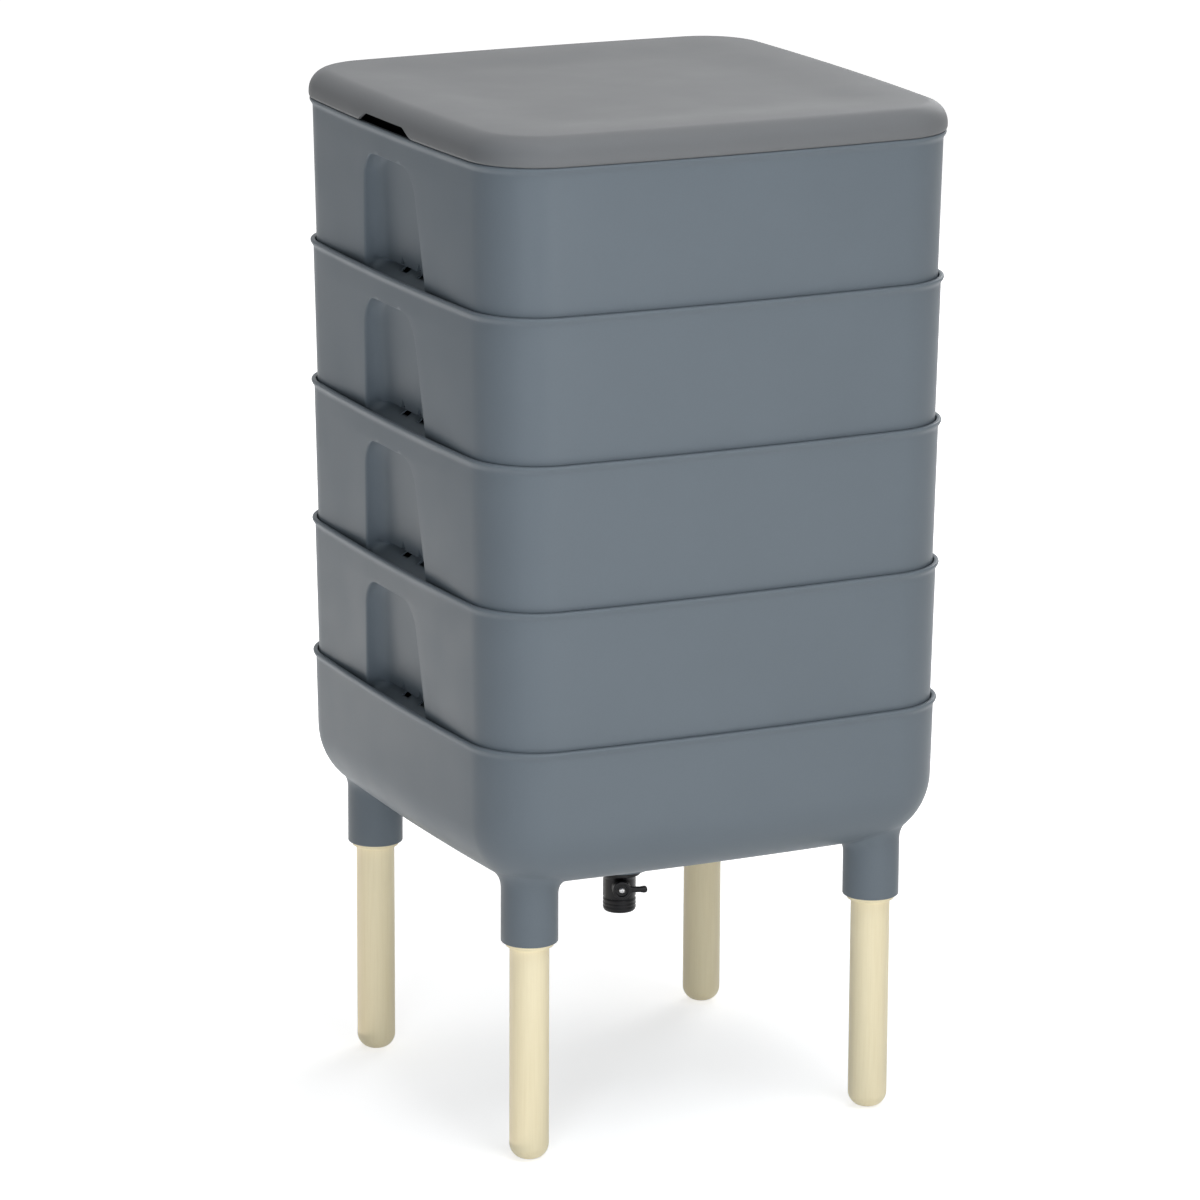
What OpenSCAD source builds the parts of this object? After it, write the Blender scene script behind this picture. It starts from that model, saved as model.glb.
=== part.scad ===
/* [Outline] */
// Width over the rim beads, the same both ways
rim_w = 374; // [300:1:460]
// Radius of the outline's corners at the rim
corner_r = 53; // [40:1:70]
// How far each side bows outwards between its corners
side_bow = 3.5; // [1:0.5:8]
// Clearance round a tray's foot in the rim of the tray below, which sets the walls' draft
nest_gap = 0.86; // [0.5:0.02:1.6]

/* [Walls] */
// Thickness of the moulded walls
wall_t = 2.3; // [2:0.1:3]
// Thickness of the wall where the next tray sits inside it
rim_wall_t = 1.5; // [1.3:0.1:1.6]
// How far the bead stands out from the wall
bead_out = 2.2; // [1.5:0.1:3]
// Height of the bead
bead_h = 6; // [4:0.5:9]

/* [Trays] */
// Height of one tray, from its underside to its rim
tray_h = 124; // [110:1:150]
// How deep a tray sits in the tray below it
nest_depth = 20; // [14:1:24]
// Thickness of the tray's floor
floor_t = 3; // [2.5:0.1:4]
// Radius of the tray's lower outside edge
foot_r = 4; // [2:0.5:6]
// Width of the solid border round the perforated floor
floor_border = 34; // [28:1:44]
// Diameter of the holes in the floor
hole_d = 9; // [6:0.5:12]
// Spacing of the holes in the floor
hole_pitch = 26; // [20:1:40]

/* [Hand recess] */
// Distance from the rim down to the recess's roof
recess_drop = 20.5; // [18:0.5:26]
// Depth of the recess under its roof
roof_depth = 10; // [7:0.5:12]
// Depth of the recess at the tray's underside
foot_depth = 19.5; // [14:0.5:22]
// Half width of the recess at its roof, before its corners are rounded
roof_half_w = 43; // [36:1:50]
// Half width of the recess at the tray's underside
recess_half_w = 69; // [60:1:80]
// Radius of the two upper corners of the recess
roof_corner_r = 19; // [12:1:22]
// Width of the soft side between the recess's edge and its flat back
soft_w = 16; // [12:1:20]
// Spacing of the pointed vents along the foot of the recess
vent_pitch = 29; // [22:1:34]
// Height of a vent's point above the underside
vent_top = 26; // [24:0.5:34]
// Width of a vent at its foot
vent_w = 12; // [8:0.5:16]

/* [Base] */
// Height of the base's rim above the ground
base_rim_z = 311.5; // [270:0.5:360]
// How deep the lowest tray sits in the base
base_nest = 23.5; // [18:0.5:26]
// Height of the base's straight wall, from the rim to the rounding
base_wall_h = 57; // [45:1:80]
// Radius of the rounding under the wall
bowl_r = 52; // [42:1:54]
// Thickness of the base's floor and lower wall
base_t = 3; // [2.5:0.1:4]
// Fall of the floor from the rounding to the sump
floor_fall = 13; // [8:1:20]
// Radius of the sump in the floor's middle
sump_r = 34; // [30:1:44]
// Radius of the flat ring at the sump's bottom
sump_seat_r = 24; // [21:0.5:28]
// How far the sump reaches below the rounding
sump_drop = 41; // [30:0.5:50]

/* [Legs] */
// Distance of each leg's axis in from the rim, both ways
leg_inset = 50.6; // [44:0.2:70]
// Diameter of the leg
leg_d = 28.4; // [22:0.2:32]
// Diameter of the leg's thicker upper end
tenon_d = 34.8; // [30:0.2:40]
// Length of the upper end that shows under the socket
tenon_show = 3.2; // [2:0.1:8]
// Radius of the rounded foot
leg_foot_r = 11; // [6:0.5:12]
// How far the sockets reach below the rounding
socket_drop = 40.3; // [30:0.1:60]
// Depth of the socket's bore
socket_depth = 36; // [24:0.5:38]
// Wall of the socket
socket_t = 2.9; // [2:0.1:5]

/* [Lid] */
// Height of the lid's crest above the rim
lid_rise = 20.2; // [18:0.2:40]
// Radius of the lid's rounded upper edge
lid_edge_r = 15.5; // [12:0.5:17]
// How far the lid stands out past the bead
lid_overhang = 0.8; // [0.4:0.1:3]
// Depth of the dish in the lid's top
lid_dish = 3; // [1:0.2:6]
// Depth of the locating skirt inside the tray
skirt_depth = 12; // [8:0.5:15]
// Width of the vent notch at the rim
notch_w = 82; // [50:1:100]
// Width of the vent notch at its top
notch_top_w = 52; // [30:1:60]
// Height of the vent notch
notch_h = 7; // [5:0.5:9]

/* [Tap] */
// Distance from the flange down to the lever's axis
lever_drop = 7.7; // [7.2:0.1:12]
// Radius of the tap's body
tap_r = 11.7; // [11.2:0.1:13]
// Radius of the flange under the base
flange_r = 15.5; // [14:0.1:19]
// Thickness of the flange
flange_t = 2.6; // [2:0.1:4]
// Thickness of each gasket
gasket_t = 2.2; // [1.5:0.1:3]
// Radius of the threaded shank
shank_r = 10.45; // [9.8:0.05:11]
// Radius of the valve ball
ball_r = 7; // [6.5:0.1:7.2]
// Radius of the waterway
flow_r = 4.6; // [3.5:0.1:5]
// Radius of the stem that turns the ball
stem_r = 3; // [2.4:0.1:3.2]
// Radius of the outlet collar
collar_r = 12.2; // [11.8:0.1:14]
// Length of the outlet collar
collar_h = 9.9; // [8:0.1:14]
// Distance from the lever's axis to its tip
lever_len = 18.8; // [16:0.2:40]
// Radius of the lever's hub
hub_r = 6.8; // [6:0.1:7.4]
// Direction that the lever's axis faces, in degrees from +X
lever_turn = -110; // [-130:1:-60]

/* [Hidden] */
$fn = 48;
// Overrun of every cut past the face that it opens
cut = 2;
// Clearance between flat faces and round fits that only slide together
fit_gap = 0.05;
// Play of a shaft or shank in its hole
hole_play = 0.35;
// Plastic, wood and rubber colours
plastic = [0.42, 0.45, 0.49];
lid_plastic = [0.55, 0.55, 0.54];
pale_wood = [0.91, 0.86, 0.70];
black_plastic = [0.08, 0.08, 0.08];
dark_rubber = [0.13, 0.13, 0.13];
white_plastic = [0.90, 0.90, 0.87];
steel = [0.75, 0.75, 0.76];

// Outline: a square with round corners and bowed sides. An inset moves every side in alike.
rim_half = rim_w / 2;
tray_pitch = tray_h - nest_depth;
draft_rate = (rim_wall_t + nest_gap) / tray_pitch;
bow_turn = atan(2 * side_bow / (rim_half - side_bow - corner_r));
corner_c = rim_half - side_bow - corner_r * cos(bow_turn);
corner_steps = 5;
corner_turn = (90 - 2 * bow_turn) / corner_steps;
side_shares = [-0.5, 0, 0.5];

function side_end(inset) = corner_c + (corner_r - inset) * sin(bow_turn);
function side_x(inset, y) = rim_half - inset - side_bow * pow(y / side_end(inset), 2);
function corner_pt(inset, k) = let(a = bow_turn + k * corner_turn, r = corner_r - inset)
    [corner_c + r * cos(a), corner_c + r * sin(a)];
// Points of one side as [distance along the side, distance in from the bowed side]
function plain_side(inset) = [for (s = side_shares) [s * side_end(inset), 0]];
// Half of the outline: one side, the next corner, the next side and the corner after it
function half_outline(inset, side) = concat(
    [for (p = side) [side_x(inset, p[0]) - p[1], p[0]]],
    [for (k = [0 : corner_steps]) corner_pt(inset, k)],
    [for (p = plain_side(inset)) [-p[0], side_x(inset, p[0])]],
    [for (k = [corner_steps : -1 : 0]) let(p = corner_pt(inset, k)) [-p[0], p[1]]]);
function whole_outline(inset, side) = let(h = half_outline(inset, side))
    concat(h, [for (p = h) [-p[0], -p[1]]]);
function lift(outline, z) = [for (p = outline) [p[0], p[1], z]];
function plain_ring(inset, z) = lift(whole_outline(inset, plain_side(inset)), z);
// Flattens a list of rings into one list of points
function joined(rings) = [for (r = rings) for (p = r) p];
// Walls between neighbouring rings, as triangles
function wall_faces(first, last, n, count) = [for (j = [first : last]) for (i = [0 : n - 1])
    let(a = j * n + i, b = j * n + (i + 1) % n, c = ((j + 1) % count) * n + (i + 1) % n,
        d = ((j + 1) % count) * n + i)
    each [[a, c, b], [a, d, c]]];

// A closed shell whose last ring joins its first
module looped_shell(rings) {
    n = len(rings[0]);
    polyhedron(joined(rings), wall_faces(0, len(rings) - 1, n, len(rings)), convexity = 6);
}
// A solid between a flat first ring and a flat last ring
module capped_solid(rings) {
    n = len(rings[0]);
    m = len(rings);
    polyhedron(joined(rings),
        concat([[for (i = [0 : n - 1]) i]], wall_faces(0, m - 2, n, m),
               [[for (i = [n - 1 : -1 : 0]) (m - 1) * n + i]]),
        convexity = 6);
}

// Rim: the bead as [height below the rim, inset], rounded over its outer edge
bead_shares = [[1, 1], [0.78, 0.08], [0.28, 0.04], [0, 0.5]];
rim_inner = bead_out + rim_wall_t - bead_h * draft_rate;
land_depth = base_nest + bead_h;
land_slope = 2 * (wall_t - rim_wall_t);
// Insets of the wall's outside and inside at a distance below the rim
function outer_inset(drop) = bead_out + (drop - bead_h) * draft_rate;
function inner_t(drop) = drop < land_depth ? rim_wall_t
    : min(wall_t, rim_wall_t + (drop - land_depth) / 2);
function inner_inset(drop) = outer_inset(drop) + inner_t(drop);

// Hand recess: an arch that spreads towards the foot, with soft sides down to a flat back
recess_reach = tray_h - recess_drop;
// A soft side as [share of the way to the flat back, share of the depth]
sides_shares = [[0, 0], [0.3, 0.07], [0.52, 0.36], [0.66, 0.76], [1, 1]];
roof_h = roof_depth / 2;
// Share of the way down from the roof to the tray's underside
function down_share(drop) = max(0, min(1, (drop - recess_drop) / recess_reach));
// Half widths of the recess and of its flat back at a distance below the rim
function corner_cut(drop) = let(up = min(1, max(0, 1 - (drop - recess_drop) / roof_corner_r)))
    roof_corner_r * (1 - sqrt(1 - up * up));
function recess_half(drop) = roof_half_w + (recess_half_w - roof_half_w) * down_share(drop)
    - corner_cut(drop);
function back_half(drop) = recess_half(drop) - soft_w;
function full_depth(drop) = roof_depth + (foot_depth - roof_depth) * down_share(drop);
// Share of the full depth that the roof has reached
function roof_share(drop, roof) = let(s = max(0, min(1, (drop - roof) / roof_h)))
    s * s * (3 - 2 * s);
// One soft side of the recess, from its edge to the flat back
function soft_side(w, back, depth) = [for (s = sides_shares) [w + (back - w) * s[0], depth * s[1]]];
function recess_side(inset, w, back, depth) = let(side = soft_side(w, back, depth),
        last = len(side) - 1, m = (w + side_end(inset)) / 2)
    concat([[-m, 0]], [for (p = side) [-p[0], p[1]]], [[0, depth]],
           [for (k = [last : -1 : 0]) side[k]], [[m, 0]]);
// The wall's inside spreads past its outside, so the soft sides keep their thickness
function tray_ring(inset, drop, roof, spread) = lift(
    whole_outline(inset, recess_side(inset, recess_half(drop) + spread, back_half(drop) + spread,
                                     full_depth(drop) * roof_share(drop, roof))), tray_h - drop);
function outer_ring(drop, inset) = tray_ring(inset, drop, recess_drop, 0);
function inner_ring(drop, inset) = tray_ring(inset, drop, inner_roof, wall_t * 0.8);

// Tray wall: heights below the rim where its rings lie
roof_shares = [0, 0.35, 0.7, 1];
inner_roof_shares = [0, 0.5, 1];
arch_shares = [0.1, 0.2, 0.6];
foot_share = 1 - sqrt(0.5);
inner_roof = recess_drop - rim_wall_t;
inner_floor_drop = tray_h - floor_t;
inner_foot_r = 2 * foot_r;
floor_inset = outer_inset(tray_h) + floor_border;
function reversed(list) = [for (k = [len(list) - 1 : -1 : 0]) list[k]];
tray_outer_rings = concat(
    [outer_ring(tray_h, outer_inset(tray_h) + foot_r),
     outer_ring(tray_h - foot_r * foot_share, outer_inset(tray_h) + foot_r * foot_share),
     outer_ring(tray_h - foot_r, outer_inset(tray_h))],
    [for (s = reversed(arch_shares))
        let(drop = recess_drop + s * recess_reach) outer_ring(drop, outer_inset(drop))],
    [for (s = reversed(roof_shares))
        let(drop = recess_drop + s * roof_h) outer_ring(drop, outer_inset(drop))],
    [for (b = bead_shares) outer_ring(b[0] * bead_h, b[1] * bead_out)]);
tray_inner_rings = concat(
    [inner_ring(0, rim_inner)],
    [for (s = inner_roof_shares)
        let(drop = inner_roof + s * roof_h) inner_ring(drop, inner_inset(drop))],
    [for (drop = [land_depth, land_depth + land_slope]) inner_ring(drop, inner_inset(drop))],
    [for (s = arch_shares)
        let(drop = recess_drop + s * recess_reach)
        if (drop > land_depth + land_slope && s > arch_shares[0])
            inner_ring(drop, inner_inset(drop))],
    [inner_ring(inner_floor_drop - inner_foot_r, inner_inset(inner_floor_drop)),
     inner_ring(inner_floor_drop, inner_inset(tray_h) + inner_foot_r)]);
// The floor's inner edge has as many points as the rings of the wall
function flange_ring(z) = lift(whole_outline(floor_inset,
    recess_side(floor_inset, recess_half_w, recess_half_w - soft_w, 0)), z);
tray_floor_rings = [flange_ring(floor_t), flange_ring(0)];

// Seats: gussets inside the wall that the tray above stands on
seat_t = 3;
seat_len = 14;
seat_h = 34;
seat_side_pos = rim_half * 0.38;
seat_front_pos = corner_c * 0.85;
module seat(top_z, drop, y) {
    x = side_x(outer_inset(drop) + rim_wall_t / 2, y);
    translate([0, y + seat_t / 2, 0])
        rotate([90, 0, 0])
            linear_extrude(height = seat_t)
                polygon([[x, top_z], [x - seat_len, top_z], [x - seat_len, top_z - seat_t],
                         [x - seat_h * draft_rate, top_z - seat_h]]);
}
module seats(top_z, drop) {
    for (turn = [0, 180]) {
        for (y = [-seat_front_pos, seat_front_pos]) rotate(turn) seat(top_z, drop, y);
        for (y = [-seat_side_pos, seat_side_pos]) rotate(turn + 90) seat(top_z, drop, y);
    }
}

// Perforated floor, let into the flange round it
sheet_t = floor_t * 0.8;
sheet_lap = floor_border / 8;
hole_span = rim_half - floor_inset - hole_d;
holes_half = floor(hole_span / hole_pitch);
module perforated_floor() {
    translate([0, 0, (floor_t - sheet_t) / 2])
        linear_extrude(height = sheet_t)
            difference() {
                polygon(whole_outline(floor_inset - sheet_lap, plain_side(floor_inset - sheet_lap)));
                for (i = [-holes_half : holes_half]) for (j = [-holes_half : holes_half])
                    translate([i * hole_pitch, j * hole_pitch]) circle(d = hole_d);
            }
}

// Vents: pointed notches along the foot of each recess
vent_foot = floor_t + inner_foot_r;
vent_sides = [-0.5, 0.5];
// A vent's outline as [share of its half width, share of the height of its point]
vent_point_shares = [[-1, 0], [-0.5, 0.4], [-0.2, 0.68], [0, 1], [0.2, 0.68], [0.5, 0.4], [1, 0]];
vent_point_h = vent_w * 0.75;
module vents() {
    wall_x = rim_half - outer_inset(tray_h) - foot_depth;
    lean = (foot_depth - full_depth(tray_h - vent_top)) + cut;
    shoulder = vent_top - vent_point_h;
    for (turn = [0, 180]) for (i = vent_sides)
        rotate(turn)
            translate([wall_x - wall_t - cut, i * vent_pitch, 0])
                rotate([90, 0, 90])
                    linear_extrude(height = wall_t + cut + lean)
                        polygon(concat([[-vent_w / 2, vent_foot]],
                            [for (p = vent_point_shares)
                                [p[0] * vent_w / 2, shoulder + p[1] * vent_point_h]],
                            [[vent_w / 2, vent_foot]]));
}

module tray(z) {
    color(plastic)
        translate([0, 0, z])
            difference() {
                union() {
                    looped_shell(concat(tray_outer_rings, tray_inner_rings, tray_floor_rings));
                    perforated_floor();
                    seats(tray_h - nest_depth, nest_depth);
                }
                vents();
            }
}

// Stack: heights of the undersides
tray_z = base_rim_z - base_nest;
lid_z = tray_z + 3 * tray_pitch + tray_h;

// Base: a bowl with a sump, four sockets and the tap's hole
bowl_z = base_rim_z - base_wall_h;
bowl_inset = outer_inset(base_wall_h);
bowl_turns = [80, 66, 50, 34, 18, 0];
bowl_foot_z = bowl_z - bowl_r;
sump_top_z = bowl_foot_z - floor_fall;
sump_seat_z = bowl_foot_z - sump_drop;
socket_z = bowl_foot_z - socket_drop;
inner_sump_r = sump_r - base_t;
inner_seat_r = sump_seat_r - base_t;
function round_ring(r, z) = [for (p = whole_outline(0, plain_side(0)))
    let(l = norm(p)) [p[0] * r / l, p[1] * r / l, z]];
bowl_outer_rings = concat(
    [round_ring(sump_seat_r, sump_seat_z), round_ring(sump_r, sump_top_z)],
    [for (a = bowl_turns)
        plain_ring(bowl_inset + bowl_r * (1 - cos(a)), bowl_z - bowl_r * sin(a))],
    [for (b = bead_shares) plain_ring(b[1] * bead_out, base_rim_z - b[0] * bead_h)]);
// Inside of the bowl, from the sump up to past the rim
bowl_inner_r = bowl_r - base_t;
bowl_land = base_nest + 2 * bead_h;
bowl_inner_rings = concat(
    [round_ring(inner_seat_r, sump_seat_z + base_t), round_ring(inner_sump_r, sump_top_z + base_t)],
    [for (a = bowl_turns)
        plain_ring(bowl_inset + base_t + bowl_inner_r * (1 - cos(a)), bowl_z - bowl_inner_r * sin(a))],
    [plain_ring(outer_inset(bowl_land) + base_t, base_rim_z - bowl_land - land_slope),
     plain_ring(outer_inset(bowl_land) + rim_wall_t, base_rim_z - bowl_land),
     plain_ring(rim_inner, base_rim_z), plain_ring(rim_inner, base_rim_z + cut)]);

leg_pos = rim_half - leg_inset;
tenon_play = 0.1;
socket_r = tenon_d / 2 + tenon_play + socket_t;
socket_top_z = socket_z + socket_depth;
socket_flare = socket_t * 2;
corners = [[-1, -1], [1, -1], [-1, 1], [1, 1]];
module at_leg(c) {
    translate([c[0] * leg_pos, c[1] * leg_pos, 0]) children();
}
module base() {
    color(plastic) {
        difference() {
            union() {
                capped_solid(bowl_outer_rings);
                for (c = corners) at_leg(c)
                    translate([0, 0, socket_z])
                        cylinder(r = socket_r, h = bowl_z - bowl_r / 2 - socket_z);
            }
            capped_solid(bowl_inner_rings);
            for (c = corners) at_leg(c)
                translate([0, 0, socket_z - cut])
                    cylinder(r = tenon_d / 2 + tenon_play, h = socket_depth + cut);
            translate([0, 0, sump_seat_z - cut])
                cylinder(r = shank_r + hole_play, h = base_t + 2 * cut);
        }
        seats(base_rim_z - base_nest, base_nest);
    }
}

// Legs: turned, with a thicker end that pushes up into the socket
module leg(c) {
    color(pale_wood)
        at_leg(c)
            rotate_extrude()
                intersection() {
                    union() {
                        translate([0, leg_foot_r])
                            square([leg_d / 2, socket_z - leg_foot_r]);
                        square([leg_d / 2 - leg_foot_r, leg_foot_r]);
                        translate([leg_d / 2 - leg_foot_r, leg_foot_r]) circle(r = leg_foot_r);
                        translate([0, socket_z - tenon_show])
                            square([tenon_d / 2, socket_depth + tenon_show]);
                    }
                    square([tenon_d, socket_top_z]);
                }
}

// Lid: a dished shell with a rounded edge, a seat on the rim and a skirt inside it
lid_lip_gap = 0.8;
crest_z = lid_z + lid_rise;
lid_side_z = crest_z - lid_edge_r;
lid_turns = [0, 20, 40, 58, 75, 90];
dish_start_inset = lid_edge_r * 1.7;
dish_inset = lid_edge_r * 2.8;
crest_inset = lid_edge_r - lid_overhang;
skirt_gap = 1;
skirt_inset = rim_inner + skirt_gap;
lid_outer_rings = concat(
    [plain_ring(bead_out / 2, lid_z), plain_ring(lid_overhang / 4, lid_z + lid_lip_gap),
     plain_ring(-lid_overhang * 0.7, lid_z + 2 * lid_lip_gap)],
    [for (a = lid_turns)
        plain_ring(crest_inset - lid_edge_r * cos(a), lid_side_z + lid_edge_r * sin(a))],
    [plain_ring(dish_start_inset, crest_z - lid_dish * 0.2),
     plain_ring(dish_inset, crest_z - lid_dish)]);
under_r = lid_edge_r - wall_t;
lid_inner_rings = [
    plain_ring(dish_inset, crest_z - lid_dish - wall_t),
    plain_ring(dish_start_inset, crest_z - lid_dish * 0.2 - wall_t),
    plain_ring(skirt_inset + wall_t + under_r * 0.6, crest_z - wall_t - under_r * 0.08),
    plain_ring(skirt_inset + wall_t, crest_z - wall_t - under_r * 0.5),
    plain_ring(skirt_inset + wall_t, lid_z - skirt_depth),
    plain_ring(skirt_inset, lid_z - skirt_depth),
    plain_ring(skirt_inset, lid_z)];
module lid() {
    color(lid_plastic)
        difference() {
            capped_solid(concat(lid_inner_rings, lid_outer_rings));
            for (turn = [0, 180])
                rotate(turn) {
                    translate([rim_half - skirt_inset - wall_t - cut, 0, lid_z])
                        rotate([90, 0, 90])
                            linear_extrude(height = skirt_inset + wall_t + 3 * cut)
                                polygon([[-notch_w / 2, -cut], [notch_w / 2, -cut],
                                         [notch_w / 2, 0], [notch_top_w / 2, notch_h],
                                         [-notch_top_w / 2, notch_h], [-notch_w / 2, 0]]);
                    translate([rim_half - skirt_inset - wall_t - side_bow - cut, -notch_top_w / 2,
                               lid_z - skirt_depth - cut])
                        cube([wall_t + side_bow + 2 * cut, notch_top_w, skirt_depth + 2 * cut]);
                }
        }
}

// Tap: its parts stand on one upright axis in the middle of the base
flange_z = sump_seat_z - gasket_t - flange_t;
lever_z = flange_z - lever_drop;
seat_wall = 1.2;
chamber_r = ball_r + seat_wall;
seat_ring_h = ball_r * 0.65;
seat_ring_z = ball_r / 2;
chamber_top = lever_z + seat_ring_z + seat_ring_h;
body_under = 3.3;
body_foot_z = lever_z - ball_r - body_under;
boss_out = 3.5;
boss_reach = tap_r + boss_out;
nut_h = 8;
nut_across = shank_r * 2.9;
shank_over = 4;
shank_top_z = sump_seat_z + base_t + gasket_t + nut_h + shank_over;
seal_section = 0.95;
seal_r = stem_r + fit_gap + seal_section;
seal_depth = 2.6;
hub_gap = 0.3;
hub_t = 5;
hub_cup_r = hub_r * 0.65;
hub_cup_depth = 1.6;
screw_head_r = hub_r * 0.4;
screw_r = stem_r * 0.45;
screw_len = 7;
stem_end = boss_reach + hub_gap + hub_t - hub_cup_depth;
tang_t = stem_r * 0.9;
tang_in = ball_r * 0.72;
tang_out = ball_r + fit_gap;
// Turns a child drawn along +Z into the direction of the lever's axis
module along_lever() {
    translate([0, 0, lever_z]) rotate([0, 90, lever_turn]) children();
}
module ring(r_in, r_out, h) {
    difference() {
        cylinder(r = r_out, h = h);
        translate([0, 0, -cut]) cylinder(r = r_in, h = h + 2 * cut);
    }
}
module tap_body() {
    flare = flange_r - tap_r;
    color(black_plastic)
        difference() {
            union() {
                translate([0, 0, body_foot_z]) cylinder(r = tap_r, h = flange_z - body_foot_z);
                translate([0, 0, flange_z - flare / 2])
                    cylinder(r1 = tap_r, r2 = tap_r + flare / 2, h = flare / 2);
                translate([0, 0, flange_z]) cylinder(r = flange_r, h = flange_t);
                translate([0, 0, flange_z]) cylinder(r = shank_r, h = shank_top_z - flange_z);
                along_lever() cylinder(r = hub_r, h = boss_reach);
            }
            translate([0, 0, body_foot_z - cut])
                cylinder(r = chamber_r, h = chamber_top - body_foot_z + cut);
            translate([0, 0, lever_z]) cylinder(r = flow_r, h = shank_top_z - lever_z + cut);
            along_lever() cylinder(r = stem_r + fit_gap, h = boss_reach + cut);
            along_lever() translate([0, 0, boss_reach - seal_depth])
                cylinder(r = seal_r + seal_section + fit_gap, h = seal_depth + cut);
        }
}
module tap_outer_gasket() {
    color(dark_rubber)
        translate([0, 0, flange_z + flange_t])
            ring(shank_r + fit_gap, flange_r - fit_gap, gasket_t);
}
module tap_inner_gasket() {
    color(dark_rubber)
        translate([0, 0, sump_seat_z + base_t])
            ring(shank_r + fit_gap, nut_across / 2, gasket_t);
}
module tap_lock_nut() {
    color(black_plastic)
        translate([0, 0, sump_seat_z + base_t + gasket_t])
            difference() {
                cylinder(d = nut_across / cos(30), h = nut_h, $fn = 6);
                translate([0, 0, -cut]) cylinder(r = shank_r + fit_gap, h = nut_h + 2 * cut);
            }
}
module tap_outlet_collar() {
    spigot_h = lever_z - seat_ring_z - seat_ring_h - body_foot_z;
    band_out = collar_r / 40;
    band_n = 3;
    band_pitch = collar_h / (band_n + 0.5);
    edge = collar_r / 12;
    color(black_plastic)
        translate([0, 0, body_foot_z - collar_h])
            difference() {
                union() {
                    cylinder(r1 = collar_r - band_out - edge, r2 = collar_r - band_out, h = edge);
                    translate([0, 0, edge])
                        cylinder(r = collar_r - band_out, h = collar_h - edge);
                    for (i = [1 : band_n])
                        translate([0, 0, i * band_pitch - band_pitch / 4])
                            cylinder(r = collar_r, h = band_pitch / 2);
                    translate([0, 0, collar_h]) cylinder(r = chamber_r - fit_gap, h = spigot_h);
                }
                translate([0, 0, -cut]) cylinder(r = flow_r, h = collar_h + spigot_h + 2 * cut);
                translate([0, 0, -cut]) cylinder(r = chamber_r, h = collar_h / 2 + cut);
            }
}
module seat_ring() {
    difference() {
        cylinder(r = chamber_r - fit_gap, h = seat_ring_h);
        translate([0, 0, -cut]) cylinder(r = flow_r, h = seat_ring_h + 2 * cut);
        translate([0, 0, -seat_ring_z]) sphere(r = ball_r + fit_gap);
    }
}
module tap_upper_seat() {
    color(white_plastic) translate([0, 0, lever_z + seat_ring_z]) seat_ring();
}
module tap_lower_seat() {
    color(white_plastic) translate([0, 0, lever_z - seat_ring_z]) mirror([0, 0, 1]) seat_ring();
}
module tap_stem_seal() {
    color(dark_rubber)
        along_lever() translate([0, 0, boss_reach - seal_depth + seal_section])
            rotate_extrude() translate([seal_r, 0]) circle(r = seal_section);
}
module tap_ball() {
    color(white_plastic)
        translate([0, 0, lever_z]) rotate(lever_turn)
            difference() {
                rotate(180) sphere(r = ball_r);
                translate([0, -ball_r - cut, 0]) rotate([-90, 0, 0])
                    cylinder(r = flow_r * 0.9, h = 2 * (ball_r + cut));
                translate([tang_in - fit_gap, -stem_r * 0.9 - fit_gap, -tang_t / 2 - fit_gap])
                    cube([ball_r, 2 * (stem_r * 0.9 + fit_gap), tang_t + 2 * fit_gap]);
            }
}
module tap_stem() {
    color(black_plastic)
        along_lever()
            difference() {
                union() {
                    translate([-tang_t / 2, -stem_r * 0.9, tang_in])
                        cube([tang_t, stem_r * 1.8, tang_out - tang_in + stem_r]);
                    translate([0, 0, tang_out]) cylinder(r = stem_r, h = stem_end - tang_out);
                }
                translate([0, 0, stem_end - screw_len]) cylinder(r = screw_r, h = screw_len + cut);
            }
}
module tap_lever() {
    arm_t = hub_t * 0.75;
    arm_h = hub_r * 0.56;
    tip_h = arm_h * 1.2;
    color(black_plastic)
        along_lever() translate([0, 0, boss_reach + hub_gap])
            difference() {
                union() {
                    cylinder(r = hub_r, h = hub_t);
                    linear_extrude(height = arm_t)
                        polygon([[-arm_h, 0], [-arm_h / 2, hub_r], [-arm_h / 2, lever_len * 0.75],
                                 [-tip_h / 2, lever_len * 0.85], [-tip_h / 2, lever_len],
                                 [tip_h / 2, lever_len], [tip_h / 2, lever_len * 0.85],
                                 [arm_h / 2, lever_len * 0.75], [arm_h / 2, hub_r], [arm_h, 0]]);
                }
                translate([0, 0, -cut]) cylinder(r = stem_r + fit_gap, h = hub_t + 2 * cut);
                translate([0, 0, hub_t - hub_cup_depth]) cylinder(r = hub_cup_r, h = 2 * cut);
            }
}
module tap_lever_screw() {
    head_h = screw_head_r * 0.7;
    color(steel)
        along_lever() translate([0, 0, stem_end])
            difference() {
                union() {
                    cylinder(r = screw_head_r, h = head_h);
                    translate([0, 0, -screw_len]) cylinder(r = screw_r, h = screw_len);
                }
                for (turn = [0, 90]) rotate(turn)
                    translate([-screw_head_r * 0.6, -screw_head_r * 0.11, head_h / 2])
                        cube([screw_head_r * 1.2, screw_head_r * 0.22, head_h]);
            }
}

base();
tray(tray_z);  // tray_1
tray(tray_z + tray_pitch);  // tray_2
tray(tray_z + 2 * tray_pitch);  // tray_3
tray(tray_z + 3 * tray_pitch);  // tray_4
lid();
leg(corners[0]);  // leg_front_left
leg(corners[1]);  // leg_front_right
leg(corners[2]);  // leg_back_left
leg(corners[3]);  // leg_back_right
tap_body();
tap_outer_gasket();
tap_inner_gasket();
tap_lock_nut();
tap_outlet_collar();
tap_upper_seat();
tap_lower_seat();
tap_stem_seal();
tap_ball();
tap_stem();
tap_lever();
tap_lever_screw();
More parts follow.
